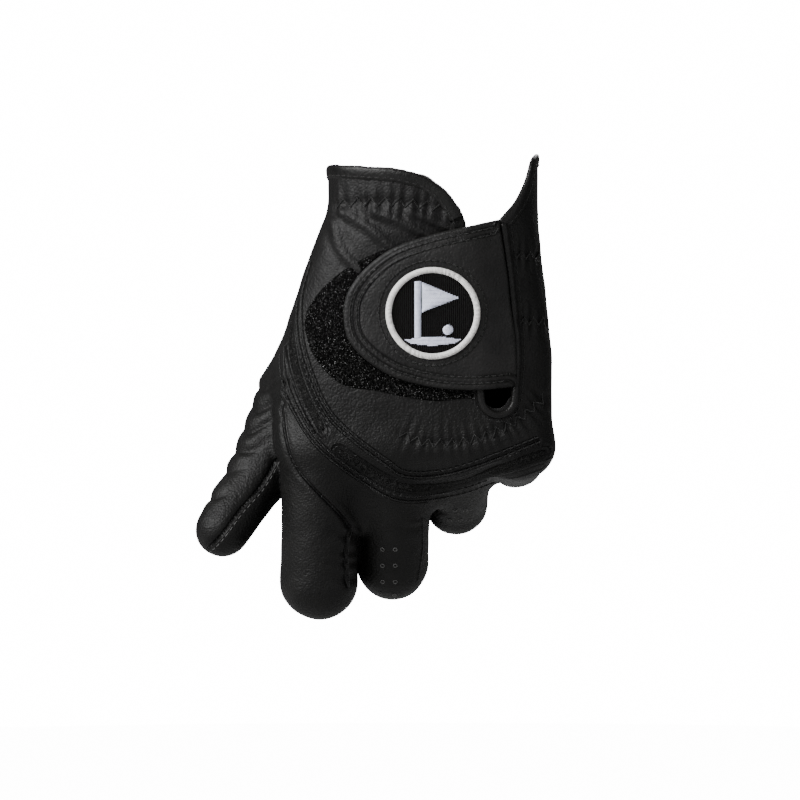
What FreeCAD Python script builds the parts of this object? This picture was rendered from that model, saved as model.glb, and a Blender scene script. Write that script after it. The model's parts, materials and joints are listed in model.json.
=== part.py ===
"""Golf glove for the left hand, closed as it is round the handle of a club.

Millimetres. The origin is the centre of the cuff opening. +Z runs up the wearer's arm, the back of
the hand faces -Y, and the little finger is on the +X side. Every sub-part is written as its own
STEP file in parts/.
"""
import FreeCAD
import Part
import math
import os

Vector = FreeCAD.Vector

# ---- driving dimensions ------------------------------------------------------------------------
BACK_LENGTH = 76.0        # cuff opening to the line of the knuckles
PALM_DEPTH = 33.0         # back to palm at mid hand, over the leather
LEATHER = 0.9             # glove leather
MESH = 0.7                # stretch mesh
LOOP_PILE = 0.9           # loop half of the closure
HOOK_PILE = 0.8           # hook half of the closure
TAB_LEATHER = 1.0
TAB_LINING = 0.5
BADGE = 0.6
ELASTIC = 0.7
ELASTIC_WIDTH = 5.0
HEM_WIDTH = 4.5
BINDING_WIDTH = 2.6
MESH_WIDTH = 3.2
GUSSET_WIDTH = 9.0        # fourchette between two fingers

PLY_GAP = 0.05            # between two plies sewn together
BODY_GAP = 0.35           # between pieces that move on each other

# ---- fingers -----------------------------------------------------------------------------------
# width at the knuckle, half widths at knuckle, middle joint, end joint and tip, the lengths of the
# three bones, and how far each joint is bent, in degrees.
FINGERS = {
    "index": {
        "width": 24.0,
        "radii": (10.9, 11.2, 9.5, 8.2),
        "bones": (42.5, 26.0, 15.0),
        "bend": (12, 75, 58),
    },
    "middle": {
        "width": 22.0,
        "radii": (12.4, 10.5, 9.3, 8.2),
        "bones": (42.0, 28.0, 17.0),
        "bend": (29, 85, 62),
    },
    "ring": {
        "width": 19.4,
        "radii": (11.6, 9.6, 8.6, 7.8),
        "bones": (36.0, 26.0, 16.0),
        "bend": (60, 75, 50),
    },
    "little": {
        "width": 18.2,
        "radii": (9.7, 8.9, 7.8, 7.2),
        "bones": (30.0, 23.0, 13.0),
        "bend": (83, 50, 45),
    },
}
KNUCKLE_EDGE_X = -46.8    # outer edge of the index finger
KNUCKLE_Y = (-1.5, 3.0)   # the knuckle line leans: y at the index end and at the little finger end
TUCK_ANGLE = 8.0          # how much further a knuckle's round back reaches inside the piece before it
WEB_SHARE = 0.4           # the webs start this far along a finger's first bone

# ---- thumb -------------------------------------------------------------------------------------
THUMB_BASE = Vector(-19.0, 3.5, -20.0)
THUMB_KNUCKLE = Vector(-41.0, 18.0, -58.0)
THUMB_JOINT = Vector(-53.5, 12.0, -84.0)
THUMB_TIP = Vector(-65.0, 3.5, -101.5)
THUMB_RADII = (13.5, 12.8, 9.8, 8.4)

# ---- the club's handle, which the closed glove leaves room for -----------------------------------
GRIP_POINT = Vector(-34.0, 25.5, -93.0)
GRIP_AXIS = Vector(60.0, 4.0, 42.4)

# ---- hand --------------------------------------------------------------------------------------
# how far below the cuff as a share of BACK_LENGTH, centre x, width as a share of the four fingers',
# depth as a share of PALM_DEPTH
HAND_SECTIONS = (
    (-0.26, 0.8, 0.778, 1.24),
    (0.00, 0.8, 0.778, 1.20),
    (0.27, -1.8, 0.885, 1.08),
    (0.60, -4.0, 1.005, 0.98),
    (0.85, -4.7, 1.024, 0.90),
    (1.10, -4.9, 1.030, 0.87),
)
SQUARENESS = 2.5          # exponent of the cross-section's superellipse
SECTION_POINTS = 16
SIDE_SEAM_Y = 5.0         # back and palm leather meet here

CUFF_BACK = ((-60, 13.0), (-31, 12.5), (-10, 10.6), (4, 5.0), (12, -8.0))   # cuff edge, back panel
CUFF_SIDE = ((16, -8.0), (22, -4.5), (30, 8.0), (33, 16.0), (60, 16.0))     # cuff edge, side panel
CUFF_PALM = (                                                               # cuff edge, palm
    (-60, 12.5), (-31, 12.0), (-12, 5.0), (5, -6.0), (19, -8.0), (26, -1.5), (31, 8.0), (33, 16.0), (60, 16),
)

SLIT_LEFT = ((11.0, -6.0), (17.0, -60.0))    # back panel's edge of the wrist slit
SLIT_RIGHT = ((21.0, -5.0), (25.0, -60.0))   # side panel's edge
SLIT_END_RADIUS = 4.0

TAB_TOP = ((21.0, -6.0), (-1.0, -10.0), (-19.8, -20.3))
TAB_NOSE = ((-19.8, -20.3), (-26.4, -34.5), (-19.8, -48.4))
TAB_BOTTOM = ((-19.8, -48.4), (0.0, -56.6), (25.0, -57.0))
BADGE_CENTRE = (1.3, -33.5)
BADGE_RADIUS = 15.3
BADGE_RING = 2.2
LOOP_UPPER = ((8.0, -12.5), (-28.0, -20.5), (-39.0, -37.0))
LOOP_LOWER = ((-39.0, -37.0), (-24.0, -56.5), (11.0, -61.5))
SIDE_MESH = ((-43.0, -30.0), (-43.6, -42.0), (-40.8, -54.0), (-34.0, -69.0))

FAR = 150.0
KNUCKLE_Z = -BACK_LENGTH


# ---- small tools -------------------------------------------------------------------------------
def half_space(point, normal, size=FAR):
    """A block that fills the side of a plane to which normal points."""
    box = Part.makeBox(2 * size, 2 * size, size, Vector(-size, -size, 0))
    box.Placement = FreeCAD.Placement(point, FreeCAD.Rotation(Vector(0, 0, 1), normal))
    return box


def slab(x_low, x_high):
    return Part.makeBox(x_high - x_low, 2 * FAR, 2 * FAR, Vector(x_low, -FAR, -FAR))


def flat(points):
    """Points (x, z) as vectors in the plane y = -FAR, from which outlines are pushed through."""
    return [Vector(x, -FAR, z) for x, z in points]


def arc(points):
    return Part.Arc(*flat(points)).toShape()


def line(a, b):
    return Part.makeLine(*flat((a, b)))


def push(edges, back_only=True):
    """The prism of an outline along Y, through the back of the hand only or all the way."""
    face = Part.Face(Part.Wire(edges))
    return face.extrude(Vector(0, FAR if back_only else 2 * FAR, 0))


def polygon(points, back_only=True):
    face = Part.Face(Part.makePolygon(flat(points + points[:1])))
    return face.extrude(Vector(0, FAR if back_only else 2 * FAR, 0))


def band(points, width):
    """A strip of that width along a line of (x, z) points, through the back of the hand."""
    left, right = [], []
    for i, (x, z) in enumerate(points):
        x0, z0 = points[max(i - 1, 0)]
        x1, z1 = points[min(i + 1, len(points) - 1)]
        length = math.hypot(x1 - x0, z1 - z0)
        nx, nz = -(z1 - z0) / length * width / 2, (x1 - x0) / length * width / 2
        left.append((x + nx, z + nz))
        right.append((x - nx, z - nz))
    return polygon(left + right[::-1])


def solids_of(shape):
    """The shape's solids as one shape, without crumbs."""
    kept = [s for s in shape.Solids if s.Volume > 0.5]
    return kept[0] if len(kept) == 1 else Part.makeCompound(kept)


def write(name, shape):
    shape = solids_of(shape)
    if not shape.isValid():
        print("NOT VALID", name)
    print(f"{name:24s} solids {len(shape.Solids)}  volume {shape.Volume:9.1f}")
    shape.exportStep(f"parts/{name}.step")


# ---- the hand's skin ---------------------------------------------------------------------------
def section(share, centre_x, width_share, depth_share, offset):
    """One cross-section of the hand, grown by offset."""
    fingers_width = sum(finger["width"] for finger in FINGERS.values())
    a, b = width_share * fingers_width / 2 + offset, depth_share * PALM_DEPTH / 2 + offset
    points = []
    for i in range(SECTION_POINTS):
        t = 2 * math.pi * i / SECTION_POINTS
        c, s = math.cos(t), math.sin(t)
        x = centre_x + a * math.copysign(abs(c) ** (2 / SQUARENESS), c)
        y = b * math.copysign(abs(s) ** (2 / SQUARENESS), s)
        points.append(Vector(x, y, -share * BACK_LENGTH))
    curve = Part.BSplineCurve()
    curve.interpolate(Points=points, PeriodicFlag=True)
    return Part.Wire(curve.toShape())


def hand(offset):
    """The hand as one solid, grown by offset from the leather's outer face."""
    return Part.makeLoft([section(*row, offset) for row in HAND_SECTIONS], True, False)


def ply(low, high):
    """A sheet all round the hand between two offsets."""
    return hand(high).cut(hand(low))


# ---- fingers and thumb as tubes ----------------------------------------------------------------
def tube_core(start, end, r0, r1):
    """A tapered bar between two joints."""
    length = start.distanceToPoint(end)
    if abs(r0 - r1) < 0.01:
        return Part.makeCylinder(r0, length, start, end - start)
    return Part.makeCone(r0, r1, length, start, end - start)


def turned(vector, axis, degrees):
    return FreeCAD.Rotation(axis, degrees).multVec(vector)


def knuckle_wedge(centre, axis, along, first, last):
    """A fan about a hinge axis, from first to last degrees either way from the bone's direction."""
    steps = 4
    rim = [turned(along * FAR, axis, first + (last - first) * i / steps) for i in range(steps + 1)]
    low = centre - axis * FAR
    face = Part.Face(Part.makePolygon([low] + [low + p for p in rim] + [low]))
    return face.extrude(axis * 2 * FAR)


def limb_halves(start, end, r0, r1, before, axis, closed=False):
    """The back and palm leathers of one bone, a tapered tube that leaves its joint on the mitre.

    On the outside of the bend the back leather goes on as a part of a ball that fills the knuckle
    and reaches TUCK_ANGLE further, inside the tube before it.
    """
    along = (end - start).normalize()
    back = (start - before).normalize()
    bend = math.degrees(back.getAngle(along))
    mitre = half_space(start + (along + back).normalize() * BODY_GAP / 2, along + back)
    outer = tube_core(start, end, r0, r1)
    inner = tube_core(start - along, end + along * (0 if closed else 1), r0 - LEATHER, r1 - LEATHER)
    if closed:
        outer = outer.fuse(Part.makeSphere(r1, end))
        inner = inner.fuse(Part.makeSphere(r1 - LEATHER, end))
    shell = outer.cut(inner).common(mitre)
    ball = Part.makeSphere(r0, start).cut(Part.makeSphere(r0 - LEATHER, start))
    ball = ball.common(knuckle_wedge(start, axis, along, -90, -90 - bend - TUCK_ANGLE))
    toward_back = axis.cross(along) * -1
    back = shell.common(half_space(start, toward_back)).fuse(ball).removeSplitter()
    return back, shell.common(half_space(start, toward_back * -1))


def mitre_cut(before, joint, after):
    """What a tube has to lose at its far joint, where the next one starts."""
    normal = (after - joint).normalize() + (joint - before).normalize()
    return half_space(joint - normal.normalize() * BODY_GAP / 2, normal)


def finger_points():
    """The joints of each finger, worked out from the knuckle line, bone lengths and bends."""
    total = sum(f["width"] for f in FINGERS.values())
    edge = KNUCKLE_EDGE_X
    for finger in FINGERS.values():
        finger["x"] = edge + finger["width"] / 2
        share = (finger["x"] - KNUCKLE_EDGE_X) / total
        point = Vector(finger["x"], KNUCKLE_Y[0] + share * (KNUCKLE_Y[1] - KNUCKLE_Y[0]), KNUCKLE_Z)
        finger["points"] = [point]
        bend = 0.0
        for bone, more in zip(finger["bones"], finger["bend"]):
            bend += more
            a = math.radians(bend)
            point = point + Vector(0, math.sin(a), -math.cos(a)) * bone
            finger["points"].append(point)
        edge += finger["width"]


CURL_AXIS = Vector(1, 0, 0)
NEST = LEATHER + 2 * BODY_GAP    # a piece is this much slimmer where it starts inside the one before


def build_finger(index):
    """A finger: base, shaft and tip, each in a back and a palm leather, and its fourchettes."""
    name = list(FINGERS)[index]
    finger = FINGERS[name]
    p, r = finger["points"], finger["radii"]
    before = [p[0] + Vector(0, 0, 10)] + p[:2]
    for i, part in enumerate(("base", "shaft", "tip")):
        closed = part == "tip"
        back, palm = limb_halves(p[i], p[i + 1], r[i] - NEST, r[i + 1], before[i], CURL_AXIS, closed)
        if not closed:
            loss = mitre_cut(p[i], p[i + 1], p[i + 2])
            back, palm = back.cut(loss), palm.cut(loss)
        if part == "base":
            half = finger["width"] / 2 - BODY_GAP / 2
            room = slab(finger["x"] - half, finger["x"] + half)
            back, palm = build_fourchettes(name, index, back.common(room), palm.common(room))
        write(f"{name}_{part}_back", back)
        write(f"{name}_{part}_palm", palm)


def build_fourchettes(name, index, back, palm):
    """The strips along a finger's sides from its webs on; returns the two leathers without them."""
    start, end = FINGERS[name]["points"][:2]
    along = (end - start).normalize()
    toward_back = CURL_AXIS.cross(along) * -1
    strip = half_space(start - toward_back * GUSSET_WIDTH / 2, toward_back)
    strip = strip.common(half_space(start + toward_back * GUSSET_WIDTH / 2, toward_back * -1))
    strip = strip.common(half_space(start + (end - start) * WEB_SHARE, along))
    for side, word in ((-1, "left"), (1, "right")):
        if 0 <= index + side < len(FINGERS):
            one_side = strip.common(half_space(start, Vector(side, 0, 0)))
            write(f"{name}_fourchette_{word}", back.fuse(palm).removeSplitter().common(one_side))
            back, palm = back.cut(one_side), palm.cut(one_side)
    return back, palm


def thumb_axis(joint, along):
    """The hinge axis about which the thumb closes on the club's handle."""
    u = Vector(GRIP_AXIS).normalize()
    foot = GRIP_POINT + u * (joint - GRIP_POINT).dot(u)
    toward = foot - joint
    toward = (toward - along * toward.dot(along)).normalize()
    return along.cross(toward)


def build_thumb(skin):
    """The thumb's root, shaft and tip; returns the hand's skin with the hole that the root needs."""
    r = THUMB_RADII
    root = (THUMB_KNUCKLE - THUMB_BASE).normalize()
    room = tube_core(THUMB_BASE, THUMB_KNUCKLE + root, r[0] - LEATHER, r[1] - LEATHER)
    room = room.fuse(Part.makeSphere(r[0] - LEATHER, THUMB_BASE))
    base = tube_core(THUMB_BASE, THUMB_KNUCKLE, r[0], r[1]).fuse(Part.makeSphere(r[0], THUMB_BASE)).cut(room)
    base = base.cut(mitre_cut(THUMB_BASE, THUMB_KNUCKLE, THUMB_JOINT))
    write("thumb_base", base.cut(hand(PLY_GAP)))
    for part, before, start, end, i in (
        ("shaft", THUMB_BASE, THUMB_KNUCKLE, THUMB_JOINT, 1),
        ("tip", THUMB_KNUCKLE, THUMB_JOINT, THUMB_TIP, 2),
    ):
        axis = thumb_axis(start, (end - start).normalize())
        back, palm = limb_halves(start, end, r[i] - NEST, r[i + 1], before, axis, part == "tip")
        if part == "shaft":
            loss = mitre_cut(THUMB_KNUCKLE, THUMB_JOINT, THUMB_TIP).fuse(hand(BODY_GAP))
            back, palm = back.cut(loss), palm.cut(loss)
        write(f"thumb_{part}_back", back)
        write(f"thumb_{part}_palm", palm)
    return skin.cut(room)


# ---- hand panels -------------------------------------------------------------------------------
def above_edge(points, drop=0.0):
    """Everything over a cuff edge, lowered by drop."""
    lowered = [(x, z - drop) for x, z in points]
    return polygon(lowered + [(60, 60), (-60, 60)], back_only=False)


def slit():
    """The open slit of the wrist, with its round end."""
    (x0, z0), (x1, z1) = SLIT_LEFT
    (x2, z2), (x3, z3) = SLIT_RIGHT
    body = polygon([(x0, z0 + 40), (x0, z0), (x1, z1), (x3, z3), (x2, z2), (x2, z2 + 40)])
    middle = (x1 + x3) / 2
    eye = Part.makeCylinder(SLIT_END_RADIUS, FAR, Vector(middle, -FAR, z1), Vector(0, 1, 0))
    return body.fuse(eye)


def build_hand():
    skin = ply(-LEATHER, 0.0)
    skin = build_thumb(skin)
    skin = skin.common(half_space(Vector(0, 0, KNUCKLE_Z), Vector(0, 0, 1)))
    for finger in FINGERS.values():
        p = finger["points"]
        mitre = (p[1] - p[0]).normalize() + Vector(0, 0, -1)
        cutter = half_space(p[0] - mitre.normalize() * BODY_GAP / 2, mitre)
        half = finger["width"] / 2
        palm_side = Part.makeBox(2 * FAR, FAR, 2 * FAR, Vector(-FAR, p[0].y, -FAR))
        low = -FAR if finger is FINGERS["index"] else finger["x"] - half
        high = FAR if finger is FINGERS["little"] else finger["x"] + half
        skin = skin.cut(cutter.common(palm_side).common(slab(low, high)))

    palm_half = Part.makeBox(2 * FAR, FAR, 2 * FAR, Vector(-FAR, SIDE_SEAM_Y, -FAR))
    back_half = Part.makeBox(2 * FAR, FAR, 2 * FAR, Vector(-FAR, SIDE_SEAM_Y - PLY_GAP - FAR, -FAR))
    opening = slit()
    below_slit = (SLIT_LEFT[1][0] + 2, -FAR)
    left = polygon([(-60, 60), (SLIT_LEFT[0][0], 60), *SLIT_LEFT, below_slit, (-60, -FAR)], False)
    back = skin.common(back_half).cut(opening)
    knuckle_band = Part.makeBox(2 * FAR, FAR, MESH_WIDTH, Vector(-FAR, -FAR - 2.0, KNUCKLE_Z))
    side_band = band(SIDE_MESH, MESH_WIDTH)
    mesh_skin = ply(-LEATHER, MESH - LEATHER).common(back_half)
    write("knuckle_mesh", mesh_skin.common(knuckle_band))
    write("side_mesh", mesh_skin.common(side_band))
    back = back.cut(knuckle_band).cut(side_band)
    write("back_panel", back.common(left).cut(above_edge(CUFF_BACK)))
    write("side_panel", back.cut(left).cut(above_edge(CUFF_SIDE)))
    write("palm_panel", skin.common(palm_half).cut(above_edge(CUFF_PALM)))

    hem = ply(PLY_GAP, LEATHER)
    right = slab(SLIT_RIGHT[0][0] - 5, FAR)
    edge_back = above_edge(CUFF_BACK, HEM_WIDTH).cut(above_edge(CUFF_BACK))
    edge_side = above_edge(CUFF_SIDE, HEM_WIDTH).cut(above_edge(CUFF_SIDE))
    edge_palm = above_edge(CUFF_PALM, HEM_WIDTH).cut(above_edge(CUFF_PALM))
    write("cuff_hem_back", hem.common(edge_back).common(back_half).common(left).cut(opening))
    write("cuff_hem_side", hem.common(edge_side).common(back_half).common(right).cut(opening))
    write("cuff_hem_palm", hem.common(edge_palm).common(palm_half))

    wide = [(x + BINDING_WIDTH, z) for x, z in SLIT_RIGHT]
    strip = polygon([*SLIT_RIGHT, *wide[::-1]])
    middle = (SLIT_LEFT[1][0] + SLIT_RIGHT[1][0]) / 2
    eye = Part.makeCylinder(
        SLIT_END_RADIUS + BINDING_WIDTH, FAR, Vector(middle, -FAR, SLIT_LEFT[1][1]), Vector(0, 1, 0)
    )
    eye = eye.common(half_space(Vector(0, 0, SLIT_LEFT[1][1] + 1), Vector(0, 0, -1)))
    binding = ply(PLY_GAP, LEATHER).common(strip.fuse(eye)).cut(opening)
    write("slit_binding", binding.cut(above_edge(CUFF_SIDE, HEM_WIDTH + PLY_GAP)))

    lining = ply(-LEATHER - PLY_GAP - ELASTIC, -LEATHER - PLY_GAP).common(back_half)
    cuff_band = band([(-28, -1), (9, -3)], ELASTIC_WIDTH).cut(above_edge(CUFF_BACK, 2))
    write("cuff_elastic", lining.common(cuff_band))
    write("knuckle_elastic", lining.common(band([(-16, -72), (12, -71), (26, -67)], ELASTIC_WIDTH)))
    write("side_elastic_upper", lining.common(band([(27.5, -16.1), (34, -16.1)], ELASTIC_WIDTH)))
    write("side_elastic_lower", lining.common(band([(28.5, -36.5), (36.5, -36.5)], ELASTIC_WIDTH)))
    write("tab_anchor", lining.common(polygon([(23.4, -12), (25.2, -12), (27.0, -55), (25.4, -55)])))


def tab_outline(inset=0.0):
    """The closure tab's outline, drawn in by inset all round."""
    wire = Part.Wire([arc(TAB_TOP), arc(TAB_NOSE), arc(TAB_BOTTOM), line(TAB_BOTTOM[-1], TAB_TOP[0])])
    if inset:
        wire = wire.makeOffset2D(-inset)
    return Part.Face(wire).extrude(Vector(0, FAR, 0))


def badge_disc(radius):
    x, z = BADGE_CENTRE
    return Part.makeCylinder(radius, FAR, Vector(x, -FAR, z), Vector(0, 1, 0))


def build_closure():
    loop = push([arc(LOOP_UPPER), arc(LOOP_LOWER), line(LOOP_LOWER[-1], LOOP_UPPER[0])])
    write("loop_patch", ply(PLY_GAP, LOOP_PILE).common(loop).cut(slit_margin()))
    low = LOOP_PILE + BODY_GAP
    write("hook_patch", ply(low, low + HOOK_PILE).common(tab_outline(5.0)))
    low += HOOK_PILE + PLY_GAP
    write("tab_lining", ply(low, low + TAB_LINING).common(tab_outline(0.8)))
    low += TAB_LINING + PLY_GAP
    write("closure_tab", ply(low, low + TAB_LEATHER).common(tab_outline()))
    low += TAB_LEATHER + PLY_GAP
    inner = BADGE_RADIUS - BADGE_RING
    write("badge_disc", ply(low, low + BADGE).common(badge_disc(inner - PLY_GAP)))
    write("badge_ring", ply(low, low + 2 * BADGE).common(badge_disc(BADGE_RADIUS).cut(badge_disc(inner))))
    x, z = BADGE_CENTRE
    flag = polygon([(x - 4.5, z - 8), (x - 3, z - 8), (x - 3, z + 1), (x + 6, z + 4.5), (x - 4.5, z + 8.5)])
    write("badge_motif", ply(low + BADGE + PLY_GAP, low + 2 * BADGE).common(flag))


def slit_margin():
    """The slit with its hems, which the loop patch stops short of."""
    (x0, z0), (x1, z1) = SLIT_LEFT
    low = (x1 - SLIT_END_RADIUS - BINDING_WIDTH, z1 - 8)
    return polygon([(x0 - 1.5, 60), (x0 - 1.5, z0), low, (60, -80), (60, 60)])


def main():
    os.makedirs("parts", exist_ok=True)
    finger_points()
    build_hand()
    for index in range(len(FINGERS)):
        build_finger(index)
    build_closure()


main()
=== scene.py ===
"""Golf glove for the left hand: leather skin, panels, seams, closure tab and badge.

Metres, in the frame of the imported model: origin at the centre of the cuff's opening, +Z up the
wearer's arm, the back of the hand towards -Y, the little finger on the +X side. Sizes below are in
millimetres and are turned into metres when a mesh is made.
"""
import json
import math
import bpy
import numpy as np
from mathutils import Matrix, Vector, noise
from mathutils.bvhtree import BVHTree


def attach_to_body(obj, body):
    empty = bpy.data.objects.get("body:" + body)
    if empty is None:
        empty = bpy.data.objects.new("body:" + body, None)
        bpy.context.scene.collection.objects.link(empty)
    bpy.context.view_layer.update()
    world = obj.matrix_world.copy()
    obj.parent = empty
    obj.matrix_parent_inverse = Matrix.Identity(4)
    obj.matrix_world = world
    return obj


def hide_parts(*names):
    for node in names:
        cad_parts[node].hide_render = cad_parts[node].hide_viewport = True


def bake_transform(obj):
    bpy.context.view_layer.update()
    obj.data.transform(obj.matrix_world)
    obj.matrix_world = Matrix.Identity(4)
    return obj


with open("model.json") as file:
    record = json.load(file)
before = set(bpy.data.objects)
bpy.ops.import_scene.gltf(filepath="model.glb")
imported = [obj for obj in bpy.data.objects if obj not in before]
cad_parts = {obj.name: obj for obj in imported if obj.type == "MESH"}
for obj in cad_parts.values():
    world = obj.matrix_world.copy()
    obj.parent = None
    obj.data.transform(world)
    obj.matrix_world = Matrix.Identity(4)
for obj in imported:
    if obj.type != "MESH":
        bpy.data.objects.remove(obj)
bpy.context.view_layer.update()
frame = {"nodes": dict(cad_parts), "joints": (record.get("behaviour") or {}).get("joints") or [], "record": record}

MM = 0.001

# ---- driving sizes, mm ----
GRID = 0.75                   # spacing of the lattice on which the skin is worked out
GLOVE_BOX = ((-80, -24, -134), (40, 64, 19))
LEATHER = 1.1
WALL = 1.7                    # leather and lining together, at the cuff
FINGERS = ("index", "middle", "ring", "little")
FINGER_RADII = {
    "index": (11.8, 12.0, 10.4, 8.6),
    "middle": (12.4, 11.3, 10.0, 8.5),
    "ring": (11.6, 9.7, 8.8, 7.9),
    "little": (10.4, 9.0, 8.0, 7.3),
}
THUMB_RADII = (13.5, 12.8, 10.0, 8.6)
GRIP_RADIUS = 12.6            # the club's handle, which presses the palm and fingers flat
# distance below the cuff, centre x, half width, half depth
HAND_PROFILE = np.array((
    (-22.0, 0.8, 32.8, 20.3),
    (0.0, 0.8, 32.6, 19.8),
    (20.5, -1.8, 37.0, 17.8),
    (45.6, -4.0, 42.0, 16.2),
    (64.6, -4.7, 42.9, 14.9),
    (84.0, -4.9, 43.1, 14.4),
))
SQUARENESS = 2.5
HAND_END = -80.0
CAVITY_END = -66.0
RIM_BACK = ((-60, 12.5), (-31.3, 12.5), (-20.8, 11.5), (-10.4, 10.7), (-1, 8.3), (5.2, 3.6), (9.4, -2.1),
            (11.5, -7), (20.8, -5.5), (26, 0.5), (29.2, 6.8), (31.3, 14.6), (33.5, 16.2), (60, 16.2))
RIM_PALM = ((-60, 12.5), (-31, 12), (-12, 5), (5, -6), (19, -8), (26, -1.5), (31, 8), (33, 16), (60, 16))
SLIT_LEFT = ((11.0, -6.0), (17.0, -60.0))
SLIT_RIGHT = ((21.0, -5.0), (24.9, -60.0))
SLIT_EYE = (20.9, -60.4, 3.9)
KNUCKLE_TOP = -66.5           # the fingers' pieces start here
RELIEF_STEP = 1.5             # spacing of the points on the lines that shape the relief
BACK_END = 7.0                # places with a larger y are not part of the back
LABEL_DEPTH = 1.2             # how far inside the leather a face is when its region is read
EDGE_ON = 0.2                 # leather that faces back less than this is past the outline
FELL_THROUGH = 6.0            # a line this far behind the plain back has dropped through the slit
TUBE_INSET = 1.6              # how far inside the leather the fingers' inner walls lie
TUBE_GRID = 1.15
TUBE_TOP = -68.0


def joint_at(name):
    found = [j for j in frame["joints"] if j["name"] == name][0]
    return np.array(found["pos_m"]) / MM


def node_points(node):
    mesh = frame["nodes"][node].data
    co = np.zeros(len(mesh.vertices) * 3, np.float32)
    mesh.vertices.foreach_get("co", co)
    return co.reshape(-1, 3).astype(float) / MM


def tip_centre(joint, nodes, radius):
    """The centre of the round end of a finger: its farthest point, less the radius."""
    points = np.concatenate([node_points(n) for n in nodes])
    away = points - joint
    far = away[np.argmax((away ** 2).sum(1))]
    length = np.linalg.norm(far)
    return joint + far * (1 - radius / length)


BONES = {}
for finger in FINGERS:
    joints = [joint_at(f"{finger}_{word}") for word in ("knuckle", "middle_joint", "end_joint")]
    tip = tip_centre(joints[2], (f"{finger}_tip_back", f"{finger}_tip_palm"), FINGER_RADII[finger][3])
    BONES[finger] = joints + [tip]
thumb_joints = [joint_at("thumb_knuckle"), joint_at("thumb_joint")]
thumb_tip = tip_centre(thumb_joints[1], ("thumb_tip_back", "thumb_tip_palm"), THUMB_RADII[3])
BONES["thumb"] = [np.array((-19.0, 3.5, -20.0))] + thumb_joints + [thumb_tip]
SLABS = [0.5 * (BONES[a][0][0] + FINGER_RADII[a][1] + BONES[b][0][0] - FINGER_RADII[b][1])
         for a, b in zip(FINGERS, FINGERS[1:])]
grip_mount = [m for m in frame["record"]["mounts"] if m["name"] == "grip"][0]
GRIP_POINT = np.array(grip_mount["pos_m"]) / MM
GRIP_AXIS = np.array(grip_mount["axis"]) / np.linalg.norm(grip_mount["axis"])


# ---- shapes as distance fields ----
def along_bone(p, a, b):
    ab = b - a
    t = ((p - a) @ ab) / (ab @ ab)
    return t, np.linalg.norm(p - a - np.clip(t, 0, 1)[..., None] * ab, axis=-1)


def bone(p, a, b, ra, rb):
    """Distance to a tapered bar with round ends."""
    t, d = along_bone(p, a, b)
    return d - (ra + (rb - ra) * np.clip(t, 0, 1))


def join(a, b, k):
    h = np.clip(0.5 + 0.5 * (b - a) / k, 0, 1)
    return b * (1 - h) + a * h - k * h * (1 - h)


def cut(a, b, k):
    """a without b, with an edge rounded over k."""
    return -join(-a, b, k)


def step(x, low, high):
    t = np.clip((x - low) / (high - low), 0, 1)
    return t * t * (3 - 2 * t)


def profile_at(z):
    """Centre x, half width and half depth of the hand, smoothed along it."""
    fine = np.linspace(-95, 35, 261)
    window = np.hanning(25)
    window /= window.sum()
    out = []
    for column in (1, 2, 3):
        values = np.interp(-fine, HAND_PROFILE[:, 0], HAND_PROFILE[:, column])
        padded = np.concatenate((np.full(12, values[0]), values, np.full(12, values[-1])))
        out.append(np.interp(z, fine, np.convolve(padded, window, "valid")))
    return out


def hand_field(p):
    x, y, z = p[..., 0], p[..., 1], p[..., 2]
    cx, a, b = profile_at(z)
    u, v = np.abs(x - cx) / a, np.abs(y) / b
    n = SQUARENESS
    f = (u ** n + v ** n + 1e-9) ** (1 / n)
    slope = np.hypot((u / f) ** (n - 1) / a, (v / f) ** (n - 1) / b)
    d = (f - 1) / np.maximum(slope, 1e-9)
    return -join(-d, -(HAND_END - z), 8.0)


def finger_field(p, finger):
    q, r = BONES[finger], FINGER_RADII[finger]
    d = bone(p, q[0], q[1], r[0], r[1])
    d = join(d, bone(p, q[1], q[2], r[1] - 0.3, r[2]), 1.6)
    return join(d, bone(p, q[2], q[3], r[2] - 0.2, r[3]), 1.4)


def web_field(p, a, b):
    """The leather between two neighbouring fingers, from the knuckles to the web."""
    d = None
    for share in (0.0, 0.2, 0.38, 0.5):
        ends = [BONES[f][0] + (BONES[f][1] - BONES[f][0]) * share for f in (a, b)]
        thick = 0.86 - 0.5 * share
        radii = [thick * (FINGER_RADII[f][0] * (1 - share) + FINGER_RADII[f][1] * share) for f in (a, b)]
        piece = bone(p, ends[0], ends[1], radii[0], radii[1])
        d = piece if d is None else join(d, piece, 3.0)
    return d


def thumb_field(p):
    """The thumb beyond its knuckle."""
    q, r = BONES["thumb"], THUMB_RADII
    return join(bone(p, q[2], q[3], r[2] - 0.2, r[3]), bone(p, q[1], q[2], r[1], r[2]), 1.5)


def grip_field(p):
    away = p - GRIP_POINT
    return np.linalg.norm(away - (away @ GRIP_AXIS)[..., None] * GRIP_AXIS, axis=-1) - GRIP_RADIUS


def skin_field(p):
    """The whole glove as if it were solid."""
    fingers = None
    for finger in FINGERS:
        d = finger_field(p, finger)
        fingers = d if fingers is None else join(fingers, d, 0.7)
    for a, b in zip(FINGERS, FINGERS[1:]):
        fingers = join(fingers, web_field(p, a, b), 2.5)
    d = join(hand_field(p), fingers, 5.0)
    q = BONES["thumb"]
    web = bone(p, q[1] + (q[2] - q[1]) * 0.15, BONES["index"][0] + np.array((0, 3.0, 4.0)), 9.0, 8.0)
    root = join(bone(p, q[0], q[1], THUMB_RADII[0], THUMB_RADII[1]), web, 5.0)
    d = join(d, root, 9.0)
    d = join(d, thumb_field(p), 1.2)
    return cut(d, grip_field(p), 2.0)


def rim_height(x, y):
    back = np.interp(x, *zip(*RIM_BACK))
    palm = np.interp(x, *zip(*RIM_PALM))
    return back + (palm - back) * step(y, -6.0, 4.0)


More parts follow.
